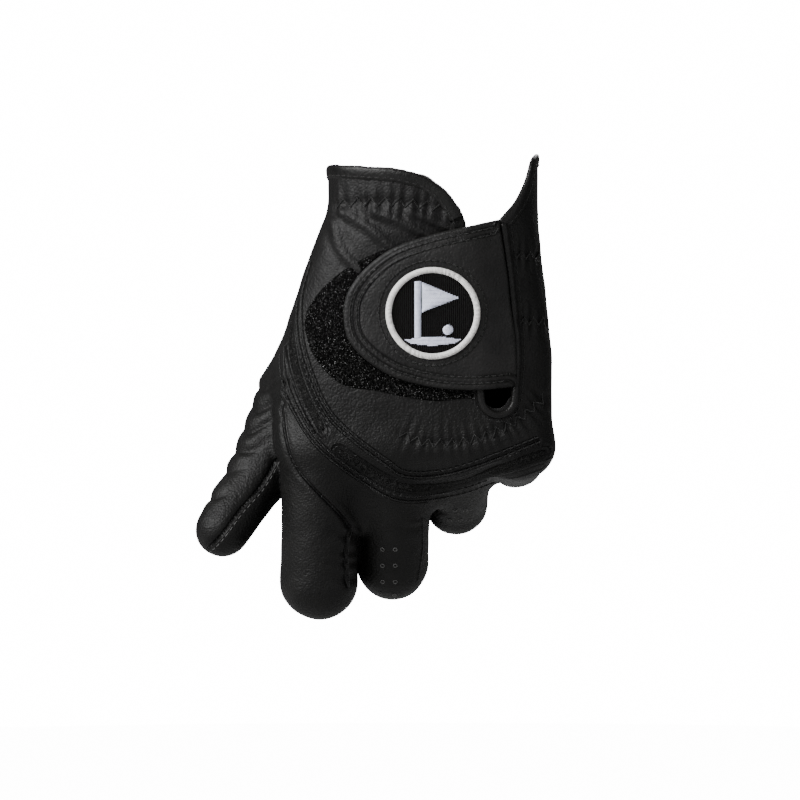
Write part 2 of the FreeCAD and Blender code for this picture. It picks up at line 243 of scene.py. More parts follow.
def slit_field(p):
    """The wrist slit with its round end, negative inside."""
    x, y, z = p[..., 0], p[..., 1], p[..., 2]
    left, right = [np.interp(-z, (6, 60), (top[0], foot[0])) for top, foot in (SLIT_LEFT, SLIT_RIGHT)]
    d = np.maximum(np.maximum(left - x, x - right), -60.5 - z)
    eye = np.hypot(x - SLIT_EYE[0], z - SLIT_EYE[1]) - SLIT_EYE[2]
    return np.maximum(np.minimum(d, eye), y)


def glove_field(p):
    """The glove's leather: hollow from the cuff down, with its rim and its wrist slit."""
    d = skin_field(p)
    cavity = np.maximum(d + WALL, CAVITY_END - p[..., 2])
    d = np.maximum(d, -cavity)
    d = np.maximum(d, -slit_field(p))
    return np.maximum(d, (p[..., 2] - rim_height(p[..., 0], p[..., 1])) * 0.8)


# ---- a field made a mesh ----
def mesh_of_field(field, low, high, h):
    """Vertices and outward quads of the surface where the field is zero."""
    axes = [np.arange(lo, hi + h, h) for lo, hi in zip(low, high)]
    f = np.empty([len(a) for a in axes], np.float32)
    for i, x in enumerate(axes[0]):
        grid = np.stack(np.meshgrid([x], axes[1], axes[2], indexing="ij"), -1)[0]
        f[i] = field(grid)
    inside = f < 0
    n = np.array(f.shape) - 1
    corners = [(i, j, k) for i in (0, 1) for j in (0, 1) for k in (0, 1)]
    count = sum(inside[i:i + n[0], j:j + n[1], k:k + n[2]].astype(np.uint8) for i, j, k in corners)
    active = (count > 0) & (count < 8)
    index = np.full(active.shape, -1, np.int64)
    cells = np.argwhere(active)
    index[active] = np.arange(len(cells))
    total, crossings = np.zeros((len(cells), 3)), np.zeros(len(cells))
    for a in corners:
        for axis in range(3):
            if a[axis]:
                continue
            b = list(a)
            b[axis] = 1
            fa = f[tuple((cells + a).T)]
            fb = f[tuple((cells + b).T)]
            hit = (fa < 0) != (fb < 0)
            t = np.where(hit, fa / np.where(hit, fa - fb, 1), 0)
            point = np.array(a)[None, :] + t[:, None] * (np.array(b) - np.array(a))
            total[hit] += point[hit]
            crossings += hit
    verts = (cells + total / crossings[:, None]) * h + np.array(low)
    quads = []
    for axis in range(3):
        u, v = (axis + 1) % 3, (axis + 2) % 3
        one = np.eye(3, dtype=int)
        s0 = inside[tuple(slice(0, -1) if i == axis else slice(1, -1) for i in range(3))]
        s1 = inside[tuple(slice(1, None) if i == axis else slice(1, -1) for i in range(3))]
        for flip in (False, True):
            where = np.argwhere((s0 & ~s1) if not flip else (~s0 & s1))
            where = where + (1 - one[axis])
            ring = [where - one[u] - one[v], where - one[v], where, where - one[u]]
            quad = np.stack([index[tuple(r.T)] for r in (ring[::-1] if flip else ring)], -1)
            quads.append(quad)
    return verts, np.concatenate(quads)


def soften(verts, quads, rounds):
    """Evens out the lattice's steps."""
    for _ in range(rounds):
        total, count = np.zeros_like(verts), np.zeros(len(verts))
        for a, b in ((0, 1), (1, 2), (2, 3), (3, 0)):
            for s, t in ((a, b), (b, a)):
                np.add.at(total, quads[:, s], verts[quads[:, t]])
                np.add.at(count, quads[:, s], 1)
        verts = 0.5 * verts + 0.5 * total / count[:, None]
    return verts


def normals_of(verts, quads):
    normal = np.cross(verts[quads[:, 2]] - verts[quads[:, 0]], verts[quads[:, 3]] - verts[quads[:, 1]])
    total = np.zeros_like(verts)
    for k in range(4):
        np.add.at(total, quads[:, k], normal)
    return total / np.maximum(np.linalg.norm(total, axis=1), 1e-9)[:, None]


# ---- which body each place of the skin follows ----
BLENDS = {}


def plan_blend(region, a, b, joint, before, after, reach=(7.0, 7.0)):
    """Notes a joint's region: the bodies a and b on its two sides, and two points on the bones, one each side of
    the joint.
    """
    back = (joint - before) / np.linalg.norm(joint - before)
    along = (after - joint) / np.linalg.norm(after - joint)
    mitre = (back + along) / np.linalg.norm(back + along)
    BLENDS[region] = (a, b, (joint - mitre * reach[0]) * MM, (joint + mitre * reach[1]) * MM)


for finger in FINGERS:
    q = BONES[finger]
    above = q[0] + np.array((0, 0, 10.0))
    plan_blend(f"{finger}_knuckle", "hand", f"{finger}_base", q[0], above, q[1], (8.0, 9.0))
    plan_blend(f"{finger}_middle", f"{finger}_base", f"{finger}_shaft", q[1], q[0], q[2], (6.0, 6.0))
    plan_blend(f"{finger}_end", f"{finger}_shaft", f"{finger}_tip", q[2], q[1], q[3], (4.5, 4.5))
q = BONES["thumb"]
plan_blend("thumb_knuckle", "hand", "thumb_shaft", q[1], q[0], q[2], (8.0, 8.0))
plan_blend("thumb_end", "thumb_shaft", "thumb_tip", q[2], q[1], q[3], (5.0, 5.0))
REGIONS = ["hand", "tab"] + list(BLENDS)
STAGES = ("knuckle", "middle", "end")


def nearest_bone(p, name):
    """Which bone of a finger is nearest, and how far along it."""
    q = BONES[name]
    found = [along_bone(p, q[i], q[i + 1]) for i in range(3)]
    which = np.argmin([d for _, d in found], axis=0)
    share = np.choose(which, [t for t, _ in found])
    return which, share


def stage_of(which, share):
    """Which of STAGES a place on a finger belongs to."""
    return np.where(which == 0, share >= 0.5, np.where(which == 1, 1 + (share >= 0.5), 2)).astype(int)


def region_of(p):
    """The region of each point of the skin, as an index into REGIONS."""
    x, y, z = p.T
    out = np.zeros(len(p), int)
    slab = np.searchsorted(SLABS, x)
    curled = (y > 25) & (x > -29) | (z < -96) & (x > -50)
    finger_part = (z < KNUCKLE_TOP) | curled
    for i, finger in enumerate(FINGERS):
        stage = stage_of(*nearest_bone(p, finger))
        for k, word in enumerate(STAGES):
            out[finger_part & (slab == i) & (stage == k)] = REGIONS.index(f"{finger}_{word}")
    q = BONES["thumb"]
    which, share = nearest_bone(p, "thumb")
    thumb = thumb_field(p)
    rest = np.minimum(hand_field(p), finger_field(p, "index"))
    beyond = (p - q[1]) @ (q[2] - q[0]) > -9.0 * np.linalg.norm(q[2] - q[0])
    shaft = (thumb < rest) & (thumb < 4.0) & (x < -24) & beyond & (which > 0)
    root = (which == 0) & (share > 0.97) & (thumb < rest) & (x < -30)
    outer_half = (which == 1) & (share >= 0.5) | (which == 2)
    out[(shaft | root) & ~outer_half] = REGIONS.index("thumb_knuckle")
    out[(shaft | root) & outer_half] = REGIONS.index("thumb_end")
    return out


# ---- pieces ----
def put(name, data):
    """An object of that data, in the scene."""
    obj = bpy.data.objects.new(name, data)
    bpy.context.scene.collection.objects.link(obj)
    return obj


def new_object(name, verts, faces, material, smooth=True):
    mesh = bpy.data.meshes.new(name)
    mesh.from_pydata([tuple(v) for v in verts], [], [tuple(f) for f in faces])
    mesh.materials.append(material)
    if smooth:
        mesh.polygons.foreach_set("use_smooth", np.ones(len(mesh.polygons), bool))
    mesh.update()
    return put(name, mesh)


def keep_distance(obj, values):
    """Notes how near a sewn line each point is, for the leather's grooves and the painted shade in them."""
    layer = obj.data.attributes.new("near_seam", "FLOAT", "POINT")
    layer.data.foreach_set("value", np.asarray(values, np.float32))


def settle(obj, region, replaced=()):
    """Puts a piece on the body of its region, or, in a joint's region, bakes its place into its mesh."""
    if region in BLENDS:
        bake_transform(obj)
    else:
        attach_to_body(obj, region)
    if replaced:
        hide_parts(*replaced)
    return obj


def rings_of(faces):
    """The closed loops of edges that only one face uses, in the faces' direction."""
    following = {}
    for a, b in open_edges_of(faces):
        following.setdefault(int(a), []).append(int(b))
    loops = []
    while following:
        start = next(iter(following))
        loop, here = [], start
        while here in following:
            step_to = following[here].pop()
            if not following[here]:
                del following[here]
            loop.append(here)
            here = step_to
            if here == start:
                break
        if len(loop) > 2:
            loops.append(loop)
    return loops


def open_edges_of(faces):
    edges = np.concatenate([faces[:, [k, (k + 1) % 4]] for k in range(4)])
    code = edges[:, 0] * (edges.max() + 1) + edges[:, 1]
    back = edges[:, 1] * (edges.max() + 1) + edges[:, 0]
    return edges[~np.isin(code, back)]


def closing(region, points, faces, normals):
    """What closes a cut-out part of the skin: lids on the hand, a thickness on the rest."""
    if region == "hand":
        extra, more = [], []
        for loop in rings_of(faces):
            centre = len(points) + len(extra)
            extra.append(points[loop].mean(0))
            more += [(loop[(i + 1) % len(loop)], loop[i], centre) for i in range(len(loop))]
        return np.array(extra).reshape(-1, 3), more
    n = len(points)
    rims = [(int(b), int(a), int(a) + n, int(b) + n) for a, b in open_edges_of(faces)]
    return points - normals * LEATHER, [tuple(f) for f in (faces[:, ::-1] + n).tolist()] + rims


def skin_pieces(verts, quads, normals, labels, near_seam, material):
    """Splits the skin into its regions, each a closed piece shaded as one with its neighbours."""
    made = {}
    for number, region in enumerate(REGIONS):
        faces = quads[labels == number]
        if not len(faces):
            continue
        used, local = np.unique(faces, return_inverse=True)
        faces = local.reshape(-1, 4)
        extra, more = closing(region, verts[used], faces, normals[used])
        everything = np.concatenate((verts[used], extra)) * MM
        obj = new_object(f"skin_{region}", everything, [tuple(f) for f in faces.tolist()] + more, material)
        mesh = obj.data
        loop_normals = np.zeros((len(mesh.loops), 3))
        loop_normals[:len(faces) * 4] = normals[used][faces.ravel()]
        keep_distance(obj, np.concatenate((near_seam[used], np.zeros(len(extra)))))
        mesh.normals_split_custom_set([tuple(n) for n in loop_normals])
        made[region] = obj
    return made


# ---- seam lines of the back, x and z ----
INNER_SEAM = ((-38, -18.2), (-40.6, -28.6), (-40.1, -42.2), (-36.5, -54.7), (-31.3, -65.1), (-24, -72.4),
              (-13.5, -80.2), (-7.3, -83.9), (5.2, -83.3), (19.8, -78.6), (33.3, -73.4))
OUTER_SEAM = ((-46.4, -44), (-45.8, -52.6), (-42.7, -62), (-36.5, -72.4), (-29.2, -79.6), (-19.8, -86.3),
              (-10.4, -91.3), (-1, -91.6), (10.4, -89.4), (20.8, -85.8), (34.9, -81.2))
SIDE_MESH = ((-42.8, -26), (-43.4, -34), (-43.4, -42), (-41.4, -52.6), (-37.2, -63), (-33.3, -70.3))
KNUCKLE_MESH = ((-28.4, -76.8), (-19.8, -82.6), (-10.4, -87.6), (-1, -88.2), (10.4, -86.2), (20.8, -82.3),
                (36, -77.0))
CUFF_ZIGZAG = ((-29, -0.2), (-15, 0.3), (-2, -0.8), (9.4, -2.6))
KNUCKLE_ZIGZAG = ((-9.2, -71.2), (-2, -73.9), (8, -74.0), (18.5, -71.5), (28, -66.5), (35.5, -60))
SIDE_ZIGZAGS = (((26.5, -16.1), (34, -16.1)), ((27.5, -36.5), (36.5, -36.5)))
INDEX_SEAM = ((-46.5, -60), (-44.8, -73.4), (-41.7, -81.8), (-36.5, -88), (-29.2, -95.3), (-25, -100.5),
              (-24.2, -102.2))
FINGER_SEAMS = (((-25.2, -100.5), (-26.4, -108), (-26.0, -119)),
                ((-3.0, -98.5), (-3.0, -108), (-4.4, -117.5)))
THUMB_SEAM = ((-48.2, -79.7), (-53.1, -88), (-59.4, -95.3), (-65.6, -103.6), (-70.6, -108.4))
CUFF_FOLDS = (((-27, -3), (-19, -8), (-11, -15)), ((-17, -3), (-8, -6.5), (0, -10.5)),
              ((-6, -3.5), (1, -6), (7, -8.5)), ((-30, -6), (-28, -14), (-22, -21)))
PALM_CREASES = (((-30, -52), (-16, -44), (-9, -28), (-8, -12)),
                ((30, -58), (10, -54), (-8, -60), (-24, -66)))
TAB_EDGE = ((26.6, -56.8), (26.0, -42.2), (24.5, -31.8), (23.4, -21.4), (20.8, -5.2), (12.5, -7), (0, -9.9),
            (-11.5, -14), (-19.8, -20.3), (-25, -27.6), (-26.4, -34.9), (-25, -42.2), (-19.8, -48.4),
            (-11.5, -53.6), (0, -56.8), (12.5, -57.8))
LOOP_EDGE = ((13.5, -60.6), (10.4, -60.4), (0, -61.1), (-15.6, -58.3), (-28, -55.7), (-36.5, -46.4),
             (-38.8, -36), (-34.4, -27.6), (-26, -20.3), (-15.6, -15.1), (-4, -12.4), (9, -11.6))
TAB_ROWS = (2.1, 4.1)         # the tab's two rows of stitches, from its free edge
TAB_SEWN = 0.35               # the tab's underside above the plain hand, where it is sewn on
TAB_LIFT = 1.3                # how much higher it lies over the pile
TAB_THICK = 1.5
TAB_CROWN = 0.25
TAB_FACE = TAB_SEWN + TAB_LIFT + TAB_THICK + TAB_CROWN
BADGE_CENTRE = np.array((0.6, -33.95))
BADGE_RADIUS = 14.6
RING_WIDTH = 2.3
SATIN_SPACING = 0.34          # between threads laid side by side
BINDING_WIDTH = 2.6
HEM_WIDTH = 4.5


def curve_of(points, spacing=0.8):
    """A smooth line through the points, in even steps."""
    p = np.array(points, float)
    ends = np.vstack((2 * p[0] - p[1], p, 2 * p[-1] - p[-2]))
    t = np.linspace(0, 1, 16, endpoint=False)[:, None]
    out = []
    for a, b, c, d in zip(ends, ends[1:], ends[2:], ends[3:]):
        square, cube = 2 * a - 5 * b + 4 * c - d, 3 * b - a - 3 * c + d
        out.append(0.5 * (2 * b + (c - a) * t + square * t ** 2 + cube * t ** 3))
    return even(np.vstack(out + [p[-1:]]), spacing)


def even(line, spacing):
    run = np.concatenate(([0], np.cumsum(np.linalg.norm(np.diff(line, axis=0), axis=1))))
    at = np.linspace(0, run[-1], max(int(round(run[-1] / spacing)), 2) + 1)
    return np.stack([np.interp(at, run, line[:, k]) for k in range(line.shape[1])], -1)


def closed(line):
    return np.vstack((line, line[:1]))


def distance_to_line(p, line):
    """How far each (x, z) point is from a line, and how far along the line."""
    best, where, run = np.full(len(p), 1e9), np.zeros(len(p)), 0.0
    for a, b in zip(line, line[1:]):
        ab = b - a
        length = np.hypot(*ab)
        t = np.clip(((p - a) @ ab) / length ** 2, 0, 1)
        d = np.linalg.norm(p - a - t[:, None] * ab, axis=1)
        nearer = d < best
        best[nearer], where[nearer] = d[nearer], run + t[nearer] * length
        run += length
    return best, where


def soft_noise(p, size, shift):
    return np.array([noise.noise(Vector(q)) for q in (p / size + shift).tolist()])


def gradient(field, p, e=0.3):
    g = np.stack([field(p + d) - field(p - d) for d in np.eye(3) * e], -1)
    return g / np.maximum(np.linalg.norm(g, axis=-1, keepdims=True), 1e-9)


def bell(d, width):
    return np.exp(-(d / width) ** 2)


def relief_of(p, facing):
    """How far the leather stands out of the plain shape, and how near a sewn line each point is.

    facing is 1 where the leather faces straight back, 0 at its outline.
    """
    h = 0.34 * soft_noise(p, np.array((13.0, 13.0, 18.0)), 3.1) + 0.16 * soft_noise(p, 5.5, 9.7)
    seam = np.full(len(p), 9.0)
    front = p[:, 1] < BACK_END
    q, near = p[front][:, [0, 2]], h[front].copy()
    y = p[front][:, 1]

    def from_line(points):
        return distance_to_line(q, curve_of(points, RELIEF_STEP))

    def sewn(d):
        seam[front] = np.minimum(seam[front], d)

    under_tab = distance_to_line(q, np.array([BADGE_CENTRE + (-8, 0), BADGE_CENTRE + (18, 0)]))[0] < 24
    near[under_tab] *= 0.4
    for zigzag, period, reach, depth in (
        [(CUFF_ZIGZAG, 3.7, 4.5, 0.34), (KNUCKLE_ZIGZAG, 2.9, 5.0, 0.3)]
        + [(line, 2.4, 4.0, 0.3) for line in SIDE_ZIGZAGS]
    ):
        d, s = from_line(zigzag)
        ripple = np.sin(2 * math.pi * s / period + 0.9 * np.sin(s * 0.7)) * bell(d, reach)
        near += depth * ripple - 0.5 * bell(d, 1.5)
    for fold in CUFF_FOLDS:
        d, _ = from_line(fold)
        near += 0.62 * bell(d, 1.4) - 0.25 * bell(d - 2.6, 1.2)
    d, _ = from_line(THUMB_SEAM)
    near -= 0.7 * bell(d, 0.9)
    sewn(d)
    d, _ = from_line(INDEX_SEAM)
    near += 0.3 * bell(d - 1.4, 1.2) - 0.5 * bell(d, 0.9)
    sewn(d)
    for side_seam in FINGER_SEAMS:
        d, s = from_line(side_seam)
        ripple = np.sin(2 * math.pi * s / 4.3 + 0.8 * np.sin(s * 0.6))
        near += 0.38 * ripple * bell(d, 4.2) - 0.3 * bell(d, 0.8)
        sewn(d)
    for inlay in (SIDE_MESH, KNUCKLE_MESH):
        d, _ = from_line(inlay)
        near -= 0.6 * step(d, 1.8, 1.0)
        near += 0.12 * bell(d - 2.2, 0.8)
        sewn(np.abs(d - 2.0))
    for double_seam in (INNER_SEAM, OUTER_SEAM):
        d, _ = from_line(double_seam)
        near += 0.14 * bell(d - 1.0, 1.0) - 0.12 * bell(d, 0.6)
        sewn(np.abs(d - 0.8))
    blend = step(y, BACK_END, 3.0) * step(facing[front], 0.08, 0.38)
    h[front] = h[front] * (1 - blend) + near * blend
    outwards = -0.79 * (p[:, 0] + 46.9) + 0.61 * (p[:, 2] + 77.6)
    reach = step(p[:, 2], -97, -91) * step(p[:, 2], -50, -54)
    reach = reach * step(p[:, 0], -42, -46) * step(p[:, 1], 27, 22)
    uneven = soft_noise(p, 11.0, 2.7)
    pucker = 1.8 * np.abs(np.sin(math.pi * (p[:, 2] - 0.3 * p[:, 0] + 2.2 * uneven) / 5.9)) - 1.0
    h += 0.55 * (1 + uneven) * pucker * step(outwards, 3.5, 9.5) * reach
    seam[front] += 9 * (1 - blend)
    palm = step(p[:, 1], 6, 10) * step(p[:, 2], -66, -60)
    crease, ball = [distance_to_line(p[:, [0, 2]], curve_of(line, RELIEF_STEP))[0]
                    for line in PALM_CREASES]
    h -= palm * (0.7 * bell(crease, 1.6) + 0.6 * bell(ball, 1.6))
    h *= step(p[:, 2], 16.5, 11.0) * 0.7 + 0.3
    return h, 3.0 - np.minimum(seam, 3.0)


# ---- finishes ----
def node_adder(tree):
    """A function that adds a node to a tree, sets or wires its inputs and gives its outputs."""
    def add(kind, values=(), **settings):
        node = tree.nodes.new(kind)
        for key, value in settings.items():
            setattr(node, key, value)
        for socket, value in dict(values).items():
            if hasattr(value, "links"):
                tree.links.new(value, node.inputs[socket])
            else:
                node.inputs[socket].default_value = value
        return node.outputs

    return add


def new_material(name, colour, roughness, specular=0.5, sheen=0.0):
    """A material, with its tree and a function that adds and wires nodes."""
    material = bpy.data.materials.new(name)
    material.use_nodes = True
    tree = material.node_tree
    shader = tree.nodes["Principled BSDF"]
    shader.inputs["Base Color"].default_value = (*colour, 1)
    shader.inputs["Roughness"].default_value = roughness
    shader.inputs["Specular IOR Level"].default_value = specular
    shader.inputs["Sheen Weight"].default_value = sheen
    return material, shader, node_adder(tree)


def attach(shader, socket, value):
    shader.id_data.links.new(value, shader.inputs[socket])


def in_mm(add, source="Object"):
    """Coordinates in millimetres."""
    place = add("ShaderNodeTexCoord")[source]
    return add("ShaderNodeVectorMath", {0: place, "Scale": 1000.0}, operation="SCALE")[0]


def maths(add, operation, a, b=0.0, clamp=False):
    return add("ShaderNodeMath", {0: a, 1: b}, operation=operation, use_clamp=clamp)[0]


def weighed(add, *terms):
    """The sum of (value, weight) pairs."""
    total = 0.0
    for value, weight in terms:
        total = add("ShaderNodeMath", {0: value, 1: weight, 2: total}, operation="MULTIPLY_ADD")[0]
    return total


def ramp_between(add, value, low, high, out_low=0.0, out_high=1.0):
    inputs = {"Value": value, "From Min": low, "From Max": high, "To Min": out_low, "To Max": out_high}
    return add("ShaderNodeMapRange", inputs, interpolation_type="SMOOTHSTEP")[0]


def bump_from(add, shader, height, depth):
    """Bump of that depth, in millimetres."""
    normal = add("ShaderNodeBump", {"Height": height, "Strength": 1.0, "Distance": depth * MM})[0]
    attach(shader, "Normal", normal)


def colour_between(add, share, dark, light):
    return add("ShaderNodeMix", {0: share, 6: (*dark, 1), 7: (*light, 1)}, data_type="RGBA")[2]


def noise_at(add, place, scale, detail, output="Fac"):
    return add("ShaderNodeTexNoise", {"Vector": place, "Scale": scale, "Detail": detail})[output]


def waves(add, place, scale, distortion, direction):
    """Soft parallel bands."""
    return add("ShaderNodeTexWave", {"Vector": place, "Scale": scale, "Distortion": distortion},
               wave_type="BANDS", bands_direction=direction)["Fac"]


def leather_material(name, dark, light, roughness, grain=0.62, depth=0.12, specular=0.17):
    """Fine-grained leather: cells of grain, soft wrinkles, and grooves where it is sewn, darkened with painted
    shade.
    """
    material, shader, add = new_material(name, light, roughness, specular)
    place = in_mm(add)
    wander = noise_at(add, place, 0.9, 2.0, "Color")
    bent = add("ShaderNodeVectorMath", {0: wander, 1: (0.5, 0.5, 0.5)}, operation="SUBTRACT")[0]
    bent = add("ShaderNodeVectorMath", {0: bent, "Scale": 0.8}, operation="SCALE")[0]
    bent = add("ShaderNodeVectorMath", {0: bent, 1: place}, operation="ADD")[0]
    cells = add("ShaderNodeTexVoronoi", {"Vector": bent, "Scale": 1 / grain},
                feature="SMOOTH_F1")["Distance"]
    fine = noise_at(add, place, 2.1, 3.0)
    broad = noise_at(add, place, 0.11, 3.0)
    wrinkle = noise_at(add, place, 0.42, 2.0)
    near_seam = add("ShaderNodeAttribute", attribute_name="near_seam")["Fac"]
    groove = ramp_between(add, near_seam, 2.35, 2.95)
    height = weighed(add, (cells, -1.5), (fine, 0.9), (wrinkle, 1.3), (groove, -4.5))
    bump_from(add, shader, height, depth)
    # colour: fine grain and broad tone are the leather's own; the sewn grooves are darker, which is painted shade
    share = weighed(add, (fine, 0.35), (broad, 1.5), (groove, -0.5))
    share = maths(add, "SUBTRACT", share, 0.45, clamp=True)
    attach(shader, "Base Color", colour_between(add, share, dark, light))
    attach(shader, "Roughness", ramp_between(add, fine, 0.3, 0.7, roughness - 0.07, roughness + 0.08))
    return material


def curly_material(name, dark, light, size, roughness, depth, specular):
    """Tangled loops of glossy yarn, black in the gaps between them as painted shade; size is one loop's, in
    millimetres.
    """
    material, shader, add = new_material(name, light, roughness, specular)
    place = in_mm(add)
    tangle = add("ShaderNodeTexNoise",
                 {"Vector": place, "Scale": 1 / size, "Detail": 2.0, "Distortion": 1.6})["Fac"]
    specks = add("ShaderNodeTexVoronoi", {"Vector": place, "Scale": 0.8 / size})["Distance"]
    raised = ramp_between(add, weighed(add, (tangle, 1.0), (specks, -0.22)), 0.28, 0.52)
    bump_from(add, shader, raised, depth)
    # colour follows the height: darker low between the loops, painted shade
    attach(shader, "Base Color", colour_between(add, raised, dark, light))
    return material


def woven_material(name, dark, light, rib, direction, roughness=0.7, depth=0.12, sheen=0.1, specular=0.3):
    """Ribbed weave on object coordinates, darker in the hollows between the ribs as painted shade; direction is
    the axis across the ribs.
    """
    material, shader, add = new_material(name, light, roughness, specular, sheen)
    place = in_mm(add)
    scale = math.pi / 10 / rib
    ribs = waves(add, place, scale, 0.3, direction)
    cross = waves(add, place, scale * 1.6, 0.4, "Z" if direction == "X" else "X")
    height = weighed(add, (ribs, 1.0), (cross, 0.35))
    bump_from(add, shader, height, depth)
    # colour follows the height: the hollows between the ribs are darker, painted shade
    attach(shader, "Base Color", colour_between(add, ramp_between(add, height, 0.1, 1.2), dark, light))
    return material


def thread_material(name, dark, light, roughness=0.5, specular=0.5, twist=1.4):
    """Spun thread: fine slanting strands, darker between them as painted shade, and a little change of the
    thread's own tone.
    """
    material, shader, add = new_material(name, light, roughness, specular, 0.1)
    place = in_mm(add)
    strands = waves(add, place, twist, 1.0, "DIAGONAL")
    tone = noise_at(add, place, 0.8, 2.0)
    bump_from(add, shader, strands, 0.05)
    # darker between the strands: painted shade; the change of tone is the thread's own
    share = maths(add, "MULTIPLY", maths(add, "ADD", strands, 0.4), tone, clamp=True)
    attach(shader, "Base Color", colour_between(add, share, dark, light))
    return material


def grey(tone):
    return (tone, tone, tone)


leather = leather_material("leather", grey(0.0009), (0.0042, 0.004, 0.0039), 0.52)
tab_leather = leather_material("tab_leather", grey(0.0025), (0.0105, 0.0102, 0.01), 0.48)
binding_leather = leather_material("binding", grey(0.0012), (0.0085, 0.0082, 0.008), 0.38, 0.5, 0.06)
gusset_leather = leather_material("fourchette", grey(0.0008), grey(0.0034), 0.48, 0.5, 0.04)
knit = curly_material("mesh", grey(0.0), (0.013, 0.0128, 0.0125), 0.55, 0.5, 0.3, 0.1)
elastic = woven_material("elastic", grey(0.002), (0.008, 0.008, 0.0082), 0.5, "Z")
pile_ground = curly_material("loop_ground", grey(0.0), (0.007, 0.0068, 0.0066), 0.6, 0.5, 0.4, 0.02)
pile = thread_material("loop", grey(0.0003), (0.03, 0.0294, 0.0286), 0.22, 0.5, 1.3)
hook = woven_material("hook", grey(0.001), (0.005, 0.005, 0.0052), 0.8, "X", 0.45, 0.2)
lining = woven_material("lining", grey(0.002), (0.008, 0.008, 0.0082), 0.3, "X", 0.9, 0.05, 0.1)
thread = thread_material("thread_dark", grey(0.0006), (0.0052, 0.0051, 0.005), 0.5, 0.16)
# pale thread of the thumb seam; the same pale colour makes the painted highlight round the perforations
pale_thread_and_painted_highlight = thread_material("thread_pale_and_painted_highlight", grey(0.02), (0.075, 0.074, 0.073), 0.42, 0.4)
badge_ground = woven_material("badge_ground", (0.0006, 0.0005, 0.0005), (0.0042, 0.0037, 0.0036),
                              0.6, "X", 0.7, 0.3, 0.0, 0.08)
badge_thread = thread_material("badge_thread", (0.42, 0.41, 0.4), (0.95, 0.935, 0.905), 0.4, 0.4, 1.1)
motif_thread = thread_material("motif_thread", (0.4, 0.42, 0.55), (0.83, 0.86, 0.97), 0.4, 0.4, 1.1)
# dark discs that stand for punched and needle holes: painted shade in the holes
hole = thread_material("perforation", grey(0.0008), grey(0.002), 0.8, 0.1)

# ---- skin ----
verts, quads = mesh_of_field(glove_field, *GLOVE_BOX, GRID)
verts = soften(verts, quads, 2)
outward = gradient(skin_field, verts)
relief, near_seam = relief_of(verts, -outward[:, 1])
is_outer = skin_field(verts) > -0.5 * WALL
near_seam[~is_outer] = 0
verts = verts + outward * relief[:, None]
normals = normals_of(verts, quads)
labels = region_of((verts - LABEL_DEPTH * outward)[quads].mean(1))
skins = skin_pieces(verts, quads, normals, labels, near_seam, leather)

back_of_hand = ["back_panel", "side_panel", "palm_panel", "thumb_base"]
settle(skins["hand"], "hand", back_of_hand)
for finger in FINGERS:
    for word, part in (("knuckle", "base"), ("middle", "shaft"), ("end", "tip")):
        settle(skins[f"{finger}_{word}"], f"{finger}_{word}",
               (f"{finger}_{part}_back", f"{finger}_{part}_palm"))
settle(skins["thumb_knuckle"], "thumb_knuckle", ("thumb_shaft_back", "thumb_shaft_palm"))
settle(skins["thumb_end"], "thumb_end", ("thumb_tip_back", "thumb_tip_palm"))

outer_quads = quads[is_outer[quads].all(1)]
OUTSIDE = BVHTree.FromPolygons(verts.tolist(), outer_quads.tolist())


# ---- places on the skin ----
def snap(points):
    """The nearest places on the outside of the leather, with smooth normals."""
    found = np.array([OUTSIDE.find_nearest(Vector(p))[0] for p in points.tolist()])
    return found, gradient(skin_field, found, 0.8)


def laid(outline, lift):
    """(x, z) places on the plain hand, lifted off it."""
    x, z = outline[:, 0], outline[:, 1]
    cx, a, b = profile_at(z)
    u = np.clip(np.abs(x - cx) / a, 0, 0.999)
    p = np.stack((x, -b * (1 - u ** SQUARENESS) ** (1 / SQUARENESS), z), -1)
    normal = gradient(hand_field, p, 0.8)
    return p + normal * np.reshape(lift, (-1, 1)), normal


def drop(line):
    """(x, z) places laid on the back of the glove: the longest stretch of them that lies on it."""
    stretches = [[]]
    for (x, z), plain in zip(line.tolist(), laid(line, 0.0)[0].tolist()):
        hit, facing = OUTSIDE.ray_cast(Vector((x, -60, z)), Vector((0, 1, 0)))[:2]
        if hit is None or abs(facing.y) < EDGE_ON:
            stretches.append([])
        elif z > SLIT_EYE[1] - 8 and hit.y > plain[1] + FELL_THROUGH:
            stretches[-1].append(OUTSIDE.find_nearest(Vector(plain))[0])
        else:
            stretches[-1].append(hit)
    found = np.array(max(stretches, key=len))
    return found, gradient(skin_field, found, 0.8)


def runs_of(points):
    """Splits a line where it passes from one region to the next: (region, first, last) of each run."""
    names = region_of(points)
    runs, first = [], 0
    for i in range(1, len(names) + 1):
        if i == len(names) or names[i] != names[first]:
            runs.append((REGIONS[names[first]], first, min(i, len(names) - 1)))
            first = i
    return [run for run in runs if run[2] > run[1]]


def smooth_rows(grid, rounds=3):
    """Evens out a line of places, ends kept."""
    for _ in range(rounds):
        grid = np.concatenate((grid[:1], (grid[:-2] + 2 * grid[1:-1] + grid[2:]) / 4, grid[-1:]))
    return grid


